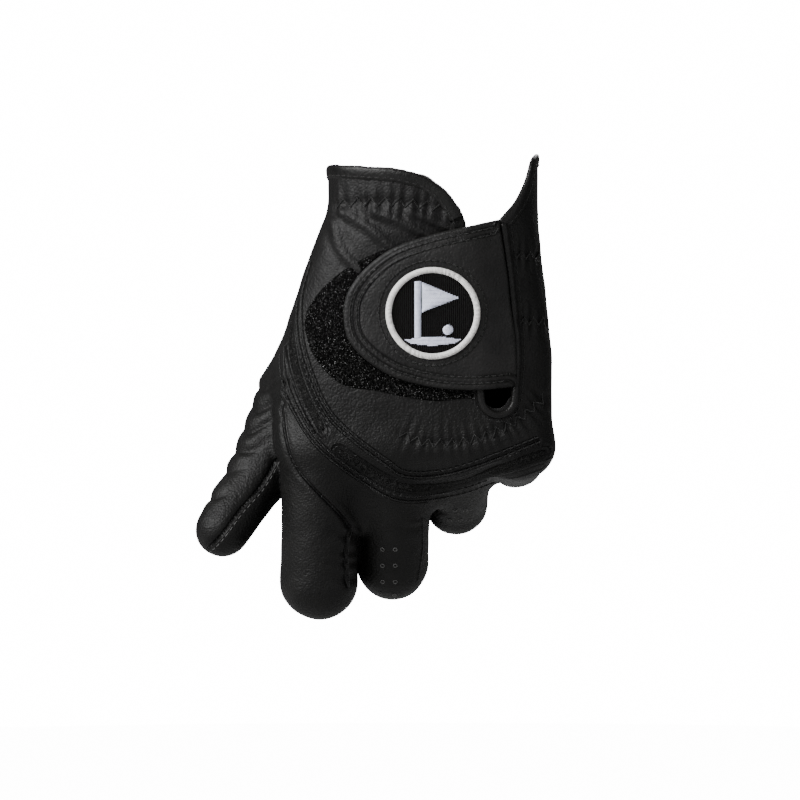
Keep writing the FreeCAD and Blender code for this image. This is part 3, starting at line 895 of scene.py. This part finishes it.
# ---- strips: hems, binding, mesh, elastic ----
def closed_sheet(name, top, bottom, uv, material):
    """A closed piece between two grids of points, rows by columns."""
    n, m = top.shape[:2]
    points = np.concatenate((top.reshape(-1, 3), bottom.reshape(-1, 3)))
    i, j = np.meshgrid(np.arange(n - 1), np.arange(m - 1), indexing="ij")
    a = (i * m + j).ravel()
    quad = np.stack((a, a + m, a + m + 1, a + 1), -1)
    faces = [quad, quad[:, ::-1] + n * m]
    edge = np.concatenate((np.arange(m), np.arange(1, n) * m + m - 1,
                           (n - 1) * m + np.arange(m - 2, -1, -1), np.arange(n - 2, 0, -1) * m))
    following = np.roll(edge, -1)
    faces.append(np.stack((edge, following, following + n * m, edge + n * m), -1))
    faces = np.concatenate(faces)
    middle = points.mean(0)
    first = points[faces[:, 0]]
    towards = np.cross(points[faces[:, 1]] - first, points[faces[:, 3]] - first)
    volume = (towards * (points[faces].mean(1) - middle)).sum()
    if volume < 0:
        faces = faces[:, ::-1]
    obj = new_object(name, points * MM, faces.tolist(), material)
    layer = obj.data.uv_layers.new(name="UVMap")
    both = np.concatenate((uv.reshape(-1, 2), uv.reshape(-1, 2)))
    layer.data.foreach_set("uv", both[faces.ravel()].astype(np.float32).ravel())
    return obj


def ribbon(name, line, normals, offsets, tops, bottoms, material, slot, rounds=4, ends=0.0, cuts=None):
    """A strip along a line on the skin; offsets, tops and bottoms run across it. One piece per region.

    ends is how far from its ends the strip starts to narrow to a round end. cuts gives the names and the
    first and last rows of the pieces that the strip is cut into. Each takes the place of the CAD node of
    its name.
    """
    run = np.concatenate(([0], np.cumsum(np.linalg.norm(np.diff(line, axis=0), axis=1))))
    to_end = np.minimum(run, run[-1] - run)
    narrow = np.sqrt(1 - np.clip(1 - (to_end + 0.15) / ends, 0, 1) ** 2)[:, None] if ends else 1.0
    along = np.gradient(line, axis=0)
    along /= np.linalg.norm(along, axis=1, keepdims=True)
    across = np.cross(normals, along)
    across /= np.linalg.norm(across, axis=1, keepdims=True)
    top, bottom = [], []
    for offset, high, low in zip(offsets, tops, bottoms):
        place, normal = snap(line + across * offset * narrow)
        place, normal = smooth_rows(place, rounds), smooth_rows(normal, rounds)
        top.append(place + normal * high)
        bottom.append(place + normal * low)
    top, bottom = np.stack(top, 1), np.stack(bottom, 1)
    uv = np.stack(np.broadcast_arrays(run[:, None], np.array(offsets)[None, :]), -1)
    for piece, begin, finish in cuts or ((name, 0, len(line) - 1),):
        for k, (region, first, last) in enumerate(runs_of(line[begin:finish + 1])):
            part = slice(begin + first, begin + last + 1)
            obj = closed_sheet(f"{piece}_{region}_{k}", top[part], bottom[part], uv[part], material)
            settle(obj, region, (piece,) if k == 0 else ())
    return top


# ---- threads, stitches, piles and dots by geometry nodes ----
def new_tree(name, floats, whole=()):
    """A geometry tree with named inputs, and a function that adds and wires nodes."""
    tree = bpy.data.node_groups.new(name, "GeometryNodeTree")
    tree.interface.new_socket("Geometry", in_out="INPUT", socket_type="NodeSocketGeometry")
    tree.interface.new_socket("Geometry", in_out="OUTPUT", socket_type="NodeSocketGeometry")
    kinds = [(label, "Float") for label in floats] + [(label, "Int") for label in whole]
    for label, kind in kinds + [("Material", "Material")]:
        tree.interface.new_socket(label, in_out="INPUT", socket_type=f"NodeSocket{kind}")
    start, add = tree.nodes.new("NodeGroupInput").outputs, node_adder(tree)

    def end(geometry):
        real = add("GeometryNodeRealizeInstances", {"Geometry": geometry})["Geometry"]
        smooth = add("GeometryNodeSetShadeSmooth", {"Geometry": real})["Geometry"]
        done = add("GeometryNodeSetMaterial",
                   {"Geometry": smooth, "Material": start["Material"]})["Geometry"]
        tree.links.new(done, tree.nodes.new("NodeGroupOutput").inputs["Geometry"])
        return tree

    return start, add, end


def tube(add, curve, radius, sides=6):
    """A round thread along a curve."""
    ring = add("GeometryNodeCurvePrimitiveCircle", {"Resolution": sides, "Radius": radius})["Curve"]
    return add("GeometryNodeCurveToMesh",
               {"Curve": curve, "Profile Curve": ring, "Fill Caps": True})["Mesh"]


def upwards(add):
    """The direction away from the leather, kept on each point."""
    return add("GeometryNodeInputNamedAttribute", {"Name": "up"}, data_type="FLOAT_VECTOR")[0]


def stitch_tree():
    """Stitches in even steps along a line: short arched threads that dip into the leather."""
    start, add, end = new_tree("stitches", ("Pitch", "Length", "Thickness"))
    curve = add("GeometryNodeMeshToCurve", {"Mesh": start["Geometry"]})["Curve"]
    steps = add("GeometryNodeResampleCurve", {"Curve": curve, "Length": start["Pitch"]},
                mode="LENGTH")["Curve"]
    half = maths(add, "MULTIPLY", start["Length"], 0.5)
    minus = maths(add, "MULTIPLY", start["Length"], -0.5)
    rise = maths(add, "MULTIPLY", start["Thickness"], 1.5)
    sink = maths(add, "MULTIPLY", start["Thickness"], -1.2)
    first = add("ShaderNodeCombineXYZ", {"X": minus, "Z": sink})[0]
    last = add("ShaderNodeCombineXYZ", {"X": half, "Z": sink})[0]
    top = add("ShaderNodeCombineXYZ", {"Z": rise})[0]
    arch = add("GeometryNodeCurveQuadraticBezier",
               {"Resolution": 5, "Start": first, "Middle": top, "End": last})
    stitch = tube(add, arch["Curve"], start["Thickness"])
    tangent = add("GeometryNodeInputTangent")[0]
    up = upwards(add)
    turn = add("FunctionNodeAxesToRotation", {"Primary Axis": up, "Secondary Axis": tangent},
               primary_axis="Z", secondary_axis="X")[0]
    placed = add("GeometryNodeInstanceOnPoints",
                 {"Points": steps, "Instance": stitch, "Rotation": turn})
    return end(placed["Instances"])


def thread_tree():
    """A thread that follows each line."""
    start, add, end = new_tree("threads", ("Thickness",))
    curve = add("GeometryNodeMeshToCurve", {"Mesh": start["Geometry"]})["Curve"]
    return end(tube(add, curve, start["Thickness"]))


def dot_tree():
    """A small round dot, such as a punched hole's rim, at each point."""
    start, add, end = new_tree("dots", ("Radius", "Height"))
    drum = add("GeometryNodeMeshCylinder",
               {"Vertices": 10, "Radius": start["Radius"], "Depth": start["Height"]})
    up = upwards(add)
    turn = add("FunctionNodeAlignRotationToVector", {"Vector": up}, axis="Z")[0]
    placed = add("GeometryNodeInstanceOnPoints",
                 {"Points": start["Geometry"], "Instance": drum["Mesh"], "Rotation": turn})
    return end(placed["Instances"])


def pile_tree():
    """Curled loops of yarn scattered over a sheet, turned and tipped at random."""
    start, add, end = new_tree("pile", ("Density", "Height", "Thickness"), ("Seed",))
    points = add("GeometryNodeDistributePointsOnFaces",
                 {"Mesh": start["Geometry"], "Density": start["Density"], "Seed": start["Seed"]})
    width = maths(add, "MULTIPLY", start["Height"], 0.62)
    minus = maths(add, "MULTIPLY", width, -0.6)
    first = add("ShaderNodeCombineXYZ", {"X": minus})[0]
    last = add("ShaderNodeCombineXYZ", {"X": width, "Y": minus})[0]
    rise = maths(add, "MULTIPLY", start["Height"], 1.25)
    one = add("ShaderNodeCombineXYZ", {"X": width, "Y": width, "Z": rise})[0]
    other = add("ShaderNodeCombineXYZ", {"X": minus, "Y": minus, "Z": rise})[0]
    arch = add("GeometryNodeCurvePrimitiveBezierSegment",
               {"Resolution": 6, "Start": first, "Start Handle": one, "End Handle": other,
                "End": last})["Curve"]
    loop = tube(add, arch, start["Thickness"], 4)
    spin = add("FunctionNodeRandomValue",
               {0: (-0.7, -0.7, 0.0), 1: (0.7, 0.7, 6.283), "Seed": start["Seed"]},
               data_type="FLOAT_VECTOR")[0]
    tipped = add("FunctionNodeEulerToRotation", {0: spin})[0]
    turn = add("FunctionNodeRotateRotation", {0: points["Rotation"], 1: tipped},
               rotation_space="LOCAL")[0]
    size = add("FunctionNodeRandomValue", {2: 0.65, 3: 1.25, "Seed": start["Seed"]},
               data_type="FLOAT")[1]
    placed = add("GeometryNodeInstanceOnPoints",
                 {"Points": points["Points"], "Instance": loop, "Rotation": turn, "Scale": size})
    return end(placed["Instances"])


def baked(name, points, edges, faces, ups, tree, material, **sizes):
    """Runs a tree on those points and keeps the result as a plain mesh."""
    mesh = bpy.data.meshes.new(name)
    mesh.from_pydata([tuple(p) for p in (np.asarray(points) * MM).tolist()], edges, faces)
    if ups is not None:
        layer = mesh.attributes.new("up", "FLOAT_VECTOR", "POINT")
        layer.data.foreach_set("vector", np.asarray(ups, np.float32).ravel())
    obj = put(name, mesh)
    modifier = obj.modifiers.new("made", "NODES")
    modifier.node_group = tree
    for item in tree.interface.items_tree:
        if item.in_out == "INPUT" and item.name == "Material":
            modifier[item.identifier] = material
        elif item.in_out == "INPUT" and item.name in sizes:
            modifier[item.identifier] = sizes[item.name]
    shown = obj.evaluated_get(bpy.context.evaluated_depsgraph_get())
    plain = bpy.data.meshes.new_from_object(shown)
    obj.modifiers.clear()
    obj.data = plain
    plain.name = name
    bpy.data.meshes.remove(mesh)
    return obj


STITCHES, THREADS, DOTS, PILE = stitch_tree(), thread_tree(), dot_tree(), pile_tree()


def beside(line, gap):
    """An (x, z) line moved sideways."""
    t = np.gradient(line, axis=0)
    t /= np.linalg.norm(t, axis=1, keepdims=True)
    return line + np.stack((-t[:, 1], t[:, 0]), -1) * gap


# ---- sewing ----
ROWS = {}
SEAM_PITCH = 2.1
SEAM_GAP = 0.8                # from the middle of a double seam to each of its rows
WELT_GAP = 0.9                # from a set-in seam to its raised edge


def sew(kind, places, ups, lift=0.1, region=None):
    """Notes a row of stitches; each kind is made once for each region."""
    for name, first, last in [(region, 0, len(places) - 1)] if region else runs_of(places):
        part = slice(first, last + 1)
        ROWS.setdefault((kind, name), []).append((places[part] + lift * ups[part], ups[part]))
        if kind == "seam":
            # dark dots at the needle holes between stitches: painted shade
            both = even(np.hstack((places[part], ups[part] * 0.001)), SEAM_PITCH)
            middle = (both[:-1] + both[1:]) / 2
            up = middle[:, 3:] / np.linalg.norm(middle[:, 3:], axis=1, keepdims=True)
            ROWS.setdefault(("holes", name), []).append((middle[:, :3] + 0.02 * up, up))


def chains(rows):
    """Points, edges and normals of several lines together."""
    points = np.concatenate([row[0] for row in rows])
    ups = np.concatenate([row[1] for row in rows])
    edges, start = [], 0
    for row in rows:
        edges += [(i, i + 1) for i in range(start, start + len(row[0]) - 1)]
        start += len(row[0])
    return points, edges, ups


def make_rows():
    kinds = {
        "seam": (STITCHES, thread, {"Pitch": SEAM_PITCH * MM, "Length": 1.6 * MM, "Thickness": 0.21 * MM}),
        "hem": (STITCHES, thread, {"Pitch": 2.4 * MM, "Length": 1.9 * MM, "Thickness": 0.18 * MM}),
        "holes": (DOTS, hole, {"Radius": 0.4 * MM, "Height": 0.14 * MM}),
        "pale": (STITCHES, pale_thread_and_painted_highlight, {"Pitch": 2.3 * MM, "Length": 1.3 * MM, "Thickness": 0.15 * MM}),
        "welt": (THREADS, binding_leather, {"Thickness": 0.32 * MM}),
        "zigzag": (THREADS, thread, {"Thickness": 0.2 * MM}),
    }
    for (kind, region), rows in ROWS.items():
        points, edges, ups = chains(rows)
        edges = [] if kind == "holes" else edges
        tree, material, sizes = kinds[kind]
        obj = baked(f"{kind}_stitches_{region}", points, edges, [], ups, tree, material, **sizes)
        settle(obj, region)


def zigzag(line, period, width):
    """A zigzag seam over an elastic, x and z."""
    middle = even(curve_of(line, 0.5), period / 2)
    side = np.where(np.arange(len(middle)) % 2, 1, -1)[:, None]
    corners = middle + (beside(middle, width) - middle) * side
    places, ups = drop(fine_legs(corners, 5))
    sew("zigzag", places, ups, 0.16)
    # dark dots at the zigzag's needle holes: painted shade
    sew("holes", *drop(corners), 0.02)


def fine_legs(corners, steps):
    share = np.linspace(0, 1, steps, endpoint=False)[:, None]
    legs = [a + (b - a) * share for a, b in zip(corners, corners[1:])]
    return np.concatenate(legs + [corners[-1:]])


for seam in (INNER_SEAM, OUTER_SEAM):
    for gap in (-SEAM_GAP, SEAM_GAP):
        sew("seam", *drop(beside(curve_of(seam), gap)))
for seam in FINGER_SEAMS:
    sew("seam", *drop(beside(curve_of(seam), 0.7)))
sew("pale", *drop(beside(curve_of(THUMB_SEAM), 1.3)))
sew("welt", *drop(beside(curve_of(THUMB_SEAM), WELT_GAP)), -0.1)
sew("welt", *drop(beside(curve_of(INDEX_SEAM), WELT_GAP)), -0.1)
zigzag(CUFF_ZIGZAG, 4.2, 1.3)
zigzag(KNUCKLE_ZIGZAG, 3.7, 1.25)
for line in SIDE_ZIGZAGS:
    zigzag(line, 3.1, 1.1)

# ---- mesh inlays ----
across = (-1.5, -1.2, -0.65, 0.0, 0.65, 1.2, 1.5)
crown = (0.02, 0.16, 0.27, 0.3, 0.27, 0.16, 0.02)
under = (-0.5,) * 7
for name, seam in (("side_mesh", SIDE_MESH), ("knuckle_mesh", KNUCKLE_MESH)):
    ribbon(name, *drop(curve_of(seam)), across, crown, under, knit, "mesh", ends=2.0)


# ---- cuff hem and slit binding ----
def rim_line(first, last):
    """The cuff's edge between two turns about the arm, in degrees."""
    turn = np.radians(np.linspace(first, last, 900))
    c, s = np.cos(turn), np.sin(turn)
    z = np.full(len(turn), 8.0)
    for _ in range(6):
        cx, a, b = profile_at(z)
        r = ((np.abs(c) / a) ** SQUARENESS + (np.abs(s) / b) ** SQUARENESS) ** (-1 / SQUARENESS)
        x, y = cx + r * c, r * s
        z = rim_height(x, y)
    return even(np.stack((x, y, z), -1), 1.0)


across = (-0.25, 0.0, 0.5, 1.4, 2.6, 3.6, 4.2, HEM_WIDTH)
crown = (0.05, 0.4, 0.62, 0.66, 0.56, 0.34, 0.26, 0.02)
under = (-0.4,) * 8
rim = rim_line(-62, -399)
upward = smooth_rows(snap(rim)[1], 6)
back_end = int(np.argmin(rim[:, 0]))
palm_end = back_end + int(np.argmax(rim[back_end:, 0]))
hems = (("cuff_hem_back", 0, back_end), ("cuff_hem_palm", back_end, palm_end),
        ("cuff_hem_side", palm_end, len(rim) - 1))
tops = ribbon("cuff_hem", rim, upward, across, crown, under, binding_leather, "binding", 6, 0.0, hems)
sew("hem", tops[:, 5], upward, 0.02)

eye_turn = np.radians(np.linspace(10, -195, 22))
eye = np.array(SLIT_EYE[:2]) + SLIT_EYE[2] * np.stack((np.cos(eye_turn), np.sin(eye_turn)), -1)
right = np.array(((21.0, -5.8), (22.3, -13), (23.5, -21.4), (24.6, -31.8), (25.6, -42.2), (25.7, -50)))
left = np.array(((15.8, -50), (13.7, -30), (11.6, -9)))
binding_line = even(np.concatenate((curve_of(np.concatenate((right, eye[:1]))), eye[1:-1],
                                    curve_of(np.concatenate((eye[-1:], left))))), 0.8)
across = (-0.2, 0.05, 0.5, 1.2, 1.9, 2.35, BINDING_WIDTH)
crown = (0.1, 0.75, 1.08, 1.16, 1.0, 0.62, 0.02)
under = (-0.4,) * 7
places, ups = drop(binding_line)
places, ups = smooth_rows(places, 4), laid(binding_line[:len(places)], 0.0)[1]
ribbon("slit_binding", places, ups, across, crown, under, binding_leather, "binding", 2)
stitched = even(beside(binding_line[:100], 3.4), 0.8)
sew("hem", *drop(stitched))

# ---- elastics inside the back, and the tab's anchor ----
across = np.linspace(-2.5, 2.5, 5)
for node, line in (
    ("cuff_elastic", ((-28, -1), (9, -3))),
    ("knuckle_elastic", ((-16, -63), (12, -63.2), (26, -62))),
    ("side_elastic_upper", SIDE_ZIGZAGS[0]),
    ("side_elastic_lower", SIDE_ZIGZAGS[1]),
    ("tab_anchor", ((26.0, -12), (28.5, -52))),
):
    ribbon(node, *drop(curve_of(line)), across, (-WALL - 0.1,) * 5, (-WALL - 0.8,) * 5, elastic, "elastic")


# ---- closure: loop patch, tab, lining, hooks ----
def ring_sheet(name, outline, centre, rings, top, bottom, material, region):
    """A closed sheet over the hand inside an outline, and how many points its upper side has.

    top and bottom give the lifts of its two sides from x, z and the distance from its edge. It takes the
    place of the CAD node of its name.
    """
    outward = outline - centre
    far = np.linalg.norm(outward, axis=1, keepdims=True)
    insets = [0.0, 0.1, 0.3, 0.6, 1.0, 1.5, 2.0, 2.5, 3.0, 3.5, 4.0, 4.6, 5.4]
    spots = [outline - outward / far * inset for inset in insets]
    rest = np.linspace(0, 1, rings + 1)[1:-1]
    spots += [spots[12] * (1 - t) + centre * t for t in rest]
    flat = np.concatenate(spots + [np.array([centre])])
    d, _ = distance_to_line(flat, closed(outline))
    n, count = len(outline), len(spots)
    high, _ = laid(flat, top(flat, d))
    low, _ = laid(flat, bottom(flat, d))
    points = np.concatenate((high, low))
    half, middle = len(flat), count * n
    faces = []
    for k in range(count - 1):
        for i in range(n):
            a, b = k * n + i, k * n + (i + 1) % n
            faces.append((a, b, b + n, a + n))
            faces.append((half + a, half + a + n, half + b + n, half + b))
    for i in range(n):
        a, b = (count - 1) * n + i, (count - 1) * n + (i + 1) % n
        faces.append((a, b, middle))
        faces.append((half + b, half + a, half + middle))
        faces.append(((i + 1) % n, i, half + i, half + (i + 1) % n))
    area = outline[:, 0] @ np.roll(outline[:, 1], -1) - outline[:, 1] @ np.roll(outline[:, 0], -1)
    if area > 0:
        faces = [f[::-1] for f in faces]
    return settle(new_object(name, points * MM, faces, material), region, (name,)), half


tab_right = curve_of(TAB_EDGE[:5], 0.7)
tab_free = curve_of(TAB_EDGE[4:] + TAB_EDGE[:1], 0.7)
tab_outline = np.concatenate((tab_right[:-1], tab_free[:-1]))
tab_centre = np.array((1.0, -33.5))
hinge = [j for j in frame["joints"] if j["name"] == "tab_hinge"][0]
hinge_place, hinge_axis = np.array(hinge["pos_m"]) / MM, np.array(hinge["axis"])
off_hinge = np.cross(gradient(hand_field, hinge_place[None])[0], hinge_axis)
off_hinge /= -np.linalg.norm(off_hinge) * np.sign(off_hinge[0])
BLENDS["tab_fold"] = ("hand", "tab", (hinge_place - off_hinge) * MM, (hinge_place + off_hinge * 5.5) * MM)


def tab_base(spots):
    """How high the tab's underside lies: low where it is sewn on, over the pile elsewhere."""
    d, _ = distance_to_line(spots, tab_right)
    return TAB_SEWN + TAB_LIFT * step(d, 0.5, 11.0)


def tab_top(spots, d):
    roll = 1.0 - np.sqrt(1 - np.clip(1 - d / 1.1, 0, 1) ** 2)
    free, _ = distance_to_line(spots, tab_free[4:-4])
    grooves = 0.22 * sum(bell(free - row, 0.5) for row in TAB_ROWS)
    crown = TAB_CROWN * step(d, 0.5, 9.0)
    wave = 0.12 * soft_noise(np.insert(spots, 1, 0.0, axis=1), 9.0, 5.3)
    return tab_base(spots) + TAB_THICK - 0.95 * roll - grooves + crown + wave


tab, half = ring_sheet("closure_tab", tab_outline, tab_centre, 30, tab_top,
                       lambda spots, d: tab_base(spots) + 0.12, tab_leather, "tab_fold")
# the tab's rows of stitches get grooves, darkened with painted shade by the tab's leather
flat = np.array([v.co for v in tab.data.vertices])[:half, [0, 2]] / MM
free, _ = distance_to_line(flat, tab_free[4:-4])
row_distance = np.minimum(*[np.abs(free - row) for row in TAB_ROWS])
keep_distance(tab, np.concatenate((3.0 - np.minimum(row_distance, 3.0), np.zeros(half))))


def inset(outline, gap):
    """An outline drawn in by a gap, evenly."""
    t = np.roll(outline, -2, 0) - np.roll(outline, 2, 0)
    t /= np.linalg.norm(t, axis=1, keepdims=True)
    inward = np.stack((-t[:, 1], t[:, 0]), -1)
    if ((tab_centre - outline) * inward).sum() < 0:
        inward = -inward
    return outline + inward * gap


ring_sheet("tab_lining", inset(tab_outline, 0.9), tab_centre, 12, lambda spots, d: tab_base(spots) + 0.1,
           lambda spots, d: tab_base(spots) - 0.3, lining, "tab_fold")
hook_outline = inset(tab_outline, 5.0)
hook_outline[:, 0] = np.minimum(hook_outline[:, 0], 8.0)
hook_centre = np.array((-9.0, -34.0))
ring_sheet("hook_patch", hook_outline, hook_centre, 10, lambda spots, d: tab_base(spots) - 0.32,
           lambda spots, d: tab_base(spots) - 0.6, hook, "tab_fold")

for gap in TAB_ROWS:
    row = even(inset(tab_free, gap)[4:-4], 0.8)
    row = row[row[:, 0] < 21.5]
    d, _ = distance_to_line(row, closed(tab_outline))
    sew("seam", *laid(row, tab_top(row, d)), 0.12, "tab_fold")

loop_top = even(np.array(LOOP_EDGE)[[-1, 0]], 0.8)
loop_outline = np.concatenate((curve_of(LOOP_EDGE, 0.8)[:-1], loop_top[:-1]))
loop_centre = np.array((-8.0, -36.5))
patch, patch_half = ring_sheet("loop_patch", loop_outline, loop_centre, 16,
                               lambda spots, d: 0.55 - 0.4 * bell(d, 0.6),
                               lambda spots, d: np.full(len(d), -0.6), pile_ground, "hand")
top_faces = [tuple(f.vertices) for f in patch.data.polygons if max(f.vertices) < patch_half]
top_points = np.array([v.co for v in patch.data.vertices])[:patch_half] / MM
curls = baked("loop_pile", top_points, [], top_faces, None, PILE, pile,
              Density=1.8e6, Height=1.1 * MM, Thickness=0.14 * MM, Seed=7)
settle(curls, "hand")

# ---- badge ----
inner_radius = BADGE_RADIUS - RING_WIDTH
turn = np.linspace(0, 2 * math.pi, 121)[:-1]
round_line = np.stack((np.cos(turn), np.sin(turn)), -1)
ring_sheet("badge_disc", BADGE_CENTRE + round_line * inner_radius, BADGE_CENTRE, 10,
           lambda spots, d: TAB_FACE + 0.35 + 0.1 * step(d, 0, 1),
           lambda spots, d: np.full(len(d), TAB_FACE - 0.3), badge_ground, "tab")


def satin(name, legs, rise, material, thickness=0.2):
    """Satin stitching: each leg is one thread that arches from end to end of a shape."""
    share = np.linspace(0, 1, 7)
    rows = []
    for a, b in legs:
        spots = a + (b - a) * share[:, None]
        full = rise * (1 + 0.16 * math.sin(7.7 * a[0] + 5.1 * a[1]))
        arch = np.sqrt(np.clip(1 - (2 * share - 1) ** 2, 0.02, 1))
        rows.append(laid(spots, TAB_FACE + 0.3 + full * arch))
    points, edges, ups = chains(rows)
    obj = baked(name, points, edges, [], ups, THREADS, material, Thickness=thickness * MM)
    settle(obj, "tab", (name,))


count = int(2 * math.pi * (BADGE_RADIUS - 1) / SATIN_SPACING)
turn = np.linspace(0, 2 * math.pi, count, endpoint=False)
ray = np.stack((np.cos(turn), np.sin(turn)), -1)
lean = np.stack((np.cos(turn + 0.03), np.sin(turn + 0.03)), -1)
ring_legs = zip(BADGE_CENTRE + ray * (inner_radius + 0.2), BADGE_CENTRE + lean * (BADGE_RADIUS - 0.5))
satin("badge_ring", ring_legs, 0.75, badge_thread)


def filled(shape):
    """Threads side by side across an outline, given round the badge's centre."""
    shape = np.array(shape, float)
    legs = []
    low, high = shape[:, 1].min(), shape[:, 1].max()
    for z in np.arange(low + SATIN_SPACING / 2, high, SATIN_SPACING):
        crossings = []
        for (x0, z0), (x1, z1) in zip(shape, np.roll(shape, -1, 0)):
            if (z0 <= z) != (z1 <= z):
                crossings.append(x0 + (z - z0) / (z1 - z0) * (x1 - x0))
        crossings.sort()
        legs += [(BADGE_CENTRE + (a, z), BADGE_CENTRE + (b, z + 0.12))
                 for a, b in zip(crossings[::2], crossings[1::2]) if b - a > 0.25]
    return legs


ball = [(4.6 + 1.5 * math.cos(t), -5.2 + 1.5 * math.sin(t)) for t in np.linspace(0, 6.28, 16)[:-1]]
ground = [(-8.5, -8.2), (-3, -7.4), (3, -7.4), (8.5, -8.2), (6.5, -9.4), (0, -10.1), (-6.5, -9.4)]
motif = filled([(-5.4, -7.6), (-3.6, -7.6), (-3.6, 9.6), (-5.4, 9.6)])
motif += filled([(-3.2, 9.4), (-3.2, 0.2), (8.0, 4.6)]) + filled(ball) + filled(ground)
satin("badge_motif", motif, 0.6, motif_thread, 0.19)
circle = closed(BADGE_CENTRE + round_line * (BADGE_RADIUS + 1.6))
d, _ = distance_to_line(circle, closed(tab_outline))
sew("seam", *laid(circle, tab_top(circle, d)), 0.12, "tab_fold")

# ---- perforations: dark discs of painted shade in the holes, pale rims of painted highlight ----
spots = [(x, z) for x in (-14.9, -10.9) for z in (-107.8, -113.0, -118.2)]
spots += [(-15.8, -121.9), (-11.2, -122.5)]
spots += [(x + dx, z) for dx, z in ((0, -95.8), (1.8, -99.0)) for x in (4.6, 7.9, 11.2)]
places, ups = drop(np.array(spots))
names = region_of(places)
for number in np.unique(names):
    region, here = REGIONS[number], names == number
    # dark discs in the holes: painted shade
    holes = baked(f"perforations_{region}", places[here] + ups[here] * 0.03, [], [], ups[here], DOTS, hole,
                  Radius=0.5 * MM, Height=0.16 * MM)
    settle(holes, region)
    # a pale ring round each hole: painted highlight on the holes' edges
    rims = []
    for place, up in zip(places[here], ups[here]):
        side = np.cross(up, (0, 0, 1.0))
        side /= np.linalg.norm(side)
        other = np.cross(up, side)
        ring = [place + up * 0.06 + 0.6 * (side * math.cos(t) + other * math.sin(t))
                for t in np.linspace(0, 6.3, 14)]
        rims.append((np.array(ring), np.repeat(up[None], 14, 0)))
    points, edges, upward = chains(rims)
    painted_highlight_rims = baked(f"perforation_painted_highlight_rims_{region}", points, edges, [], upward, THREADS, pale_thread_and_painted_highlight,
                    Thickness=0.12 * MM)
    settle(painted_highlight_rims, region)

make_rows()

# ---- fourchettes: each finger's inner walls, which show when the fingers part ----
for index, finger in enumerate(FINGERS):
    reach = np.array(BONES[finger])
    low, high = reach.min(0) - 14, reach.max(0) + 14
    high[2] = TUBE_TOP + 2

    def inner_field(p):
        d = np.maximum(finger_field(p, finger) + TUBE_INSET, 1.0 - grip_field(p))
        return np.maximum(d, p[..., 2] - TUBE_TOP)

    inner, inner_quads = mesh_of_field(inner_field, low, high, TUBE_GRID)
    inner = soften(inner, inner_quads, 1)
    stage = stage_of(*nearest_bone(inner[inner_quads].mean(1), finger))
    for k, word in enumerate(STAGES):
        used, local = np.unique(inner_quads[stage == k], return_inverse=True)
        faces = local.reshape(-1, 4)
        extra, lids = closing("hand", inner[used], faces, None)
        obj = new_object(f"{finger}_inner_{word}", np.concatenate((inner[used], extra)) * MM,
                         [tuple(f) for f in faces.tolist()] + lids, gusset_leather)
        sides = [f"{finger}_fourchette_{side}"
                 for side, outermost in (("left", 0), ("right", 3)) if index != outermost]
        settle(obj, f"{finger}_{word}", sides if k == 0 else ())


# ---- the scene round the glove ----
VIEW_CENTRE = (-9.4, -60.9)      # what the camera looks at, x and z
VIEW_WIDTH = 250.0
CAMERA_DISTANCE = 1300.0
FLOOR = -0.22


def add_camera():
    camera = bpy.data.cameras.new("camera")
    camera.sensor_width = 36.0
    camera.lens = 36.0 * CAMERA_DISTANCE / VIEW_WIDTH
    camera.clip_start, camera.clip_end = 0.05, 50
    obj = put("camera", camera)
    obj.location = Vector((VIEW_CENTRE[0], -CAMERA_DISTANCE, VIEW_CENTRE[1])) * MM
    obj.rotation_euler = (math.pi / 2, 0, 0)
    bpy.context.scene.camera = obj


def add_light(name, place, size, watts):
    light = bpy.data.lights.new(name, "AREA")
    light.shape = "RECTANGLE"
    light.size, light.size_y = size
    light.energy = watts
    obj = put(name, light)
    obj.location = place
    obj.rotation_euler = (Vector((-0.01, 0, -0.055)) - Vector(place)).to_track_quat("-Z", "Y").to_euler()


def seen_only(add, seen, otherwise):
    """A strength that is one thing to the eye and another as a light."""
    ray = add("ShaderNodeLightPath")["Is Camera Ray"]
    return ramp_between(add, ray, 0.0, 1.0, otherwise, seen)


def add_studio():
    add_light("key", (-0.9, -0.65, 0.5), (0.9, 0.9), 40)
    add_light("spark", (-0.5, -1.0, 0.6), (0.14, 0.14), 7)
    add_light("fill", (0.95, -0.9, 0.15), (0.9, 0.9), 3.5)
    add_light("front", (0.0, -1.2, -0.35), (0.9, 0.5), 1.5)
    add_light("back", (0.25, 0.9, 0.75), (0.9, 0.7), 16)
    world = bpy.data.worlds.new("studio")
    world.use_nodes = True
    sky = world.node_tree.nodes["Background"]
    sky.inputs["Color"].default_value = (1, 1, 1, 1)
    attach(sky, "Strength", seen_only(node_adder(world.node_tree), 16.0, 0.14))
    bpy.context.scene.world = world
    material, shader, add = new_material("floor", grey(0.35), 0.9)
    shader.inputs["Emission Color"].default_value = (1, 1, 1, 1)
    attach(shader, "Emission Strength", seen_only(add, 14.0, 0.0))
    rim = [(0.75 * math.cos(t), 0.75 * math.sin(t), FLOOR) for t in np.linspace(0, 2 * math.pi, 97)[:-1]]
    floor = new_object("floor", rim, [tuple(range(96))], material, smooth=False)


add_camera()
add_studio()
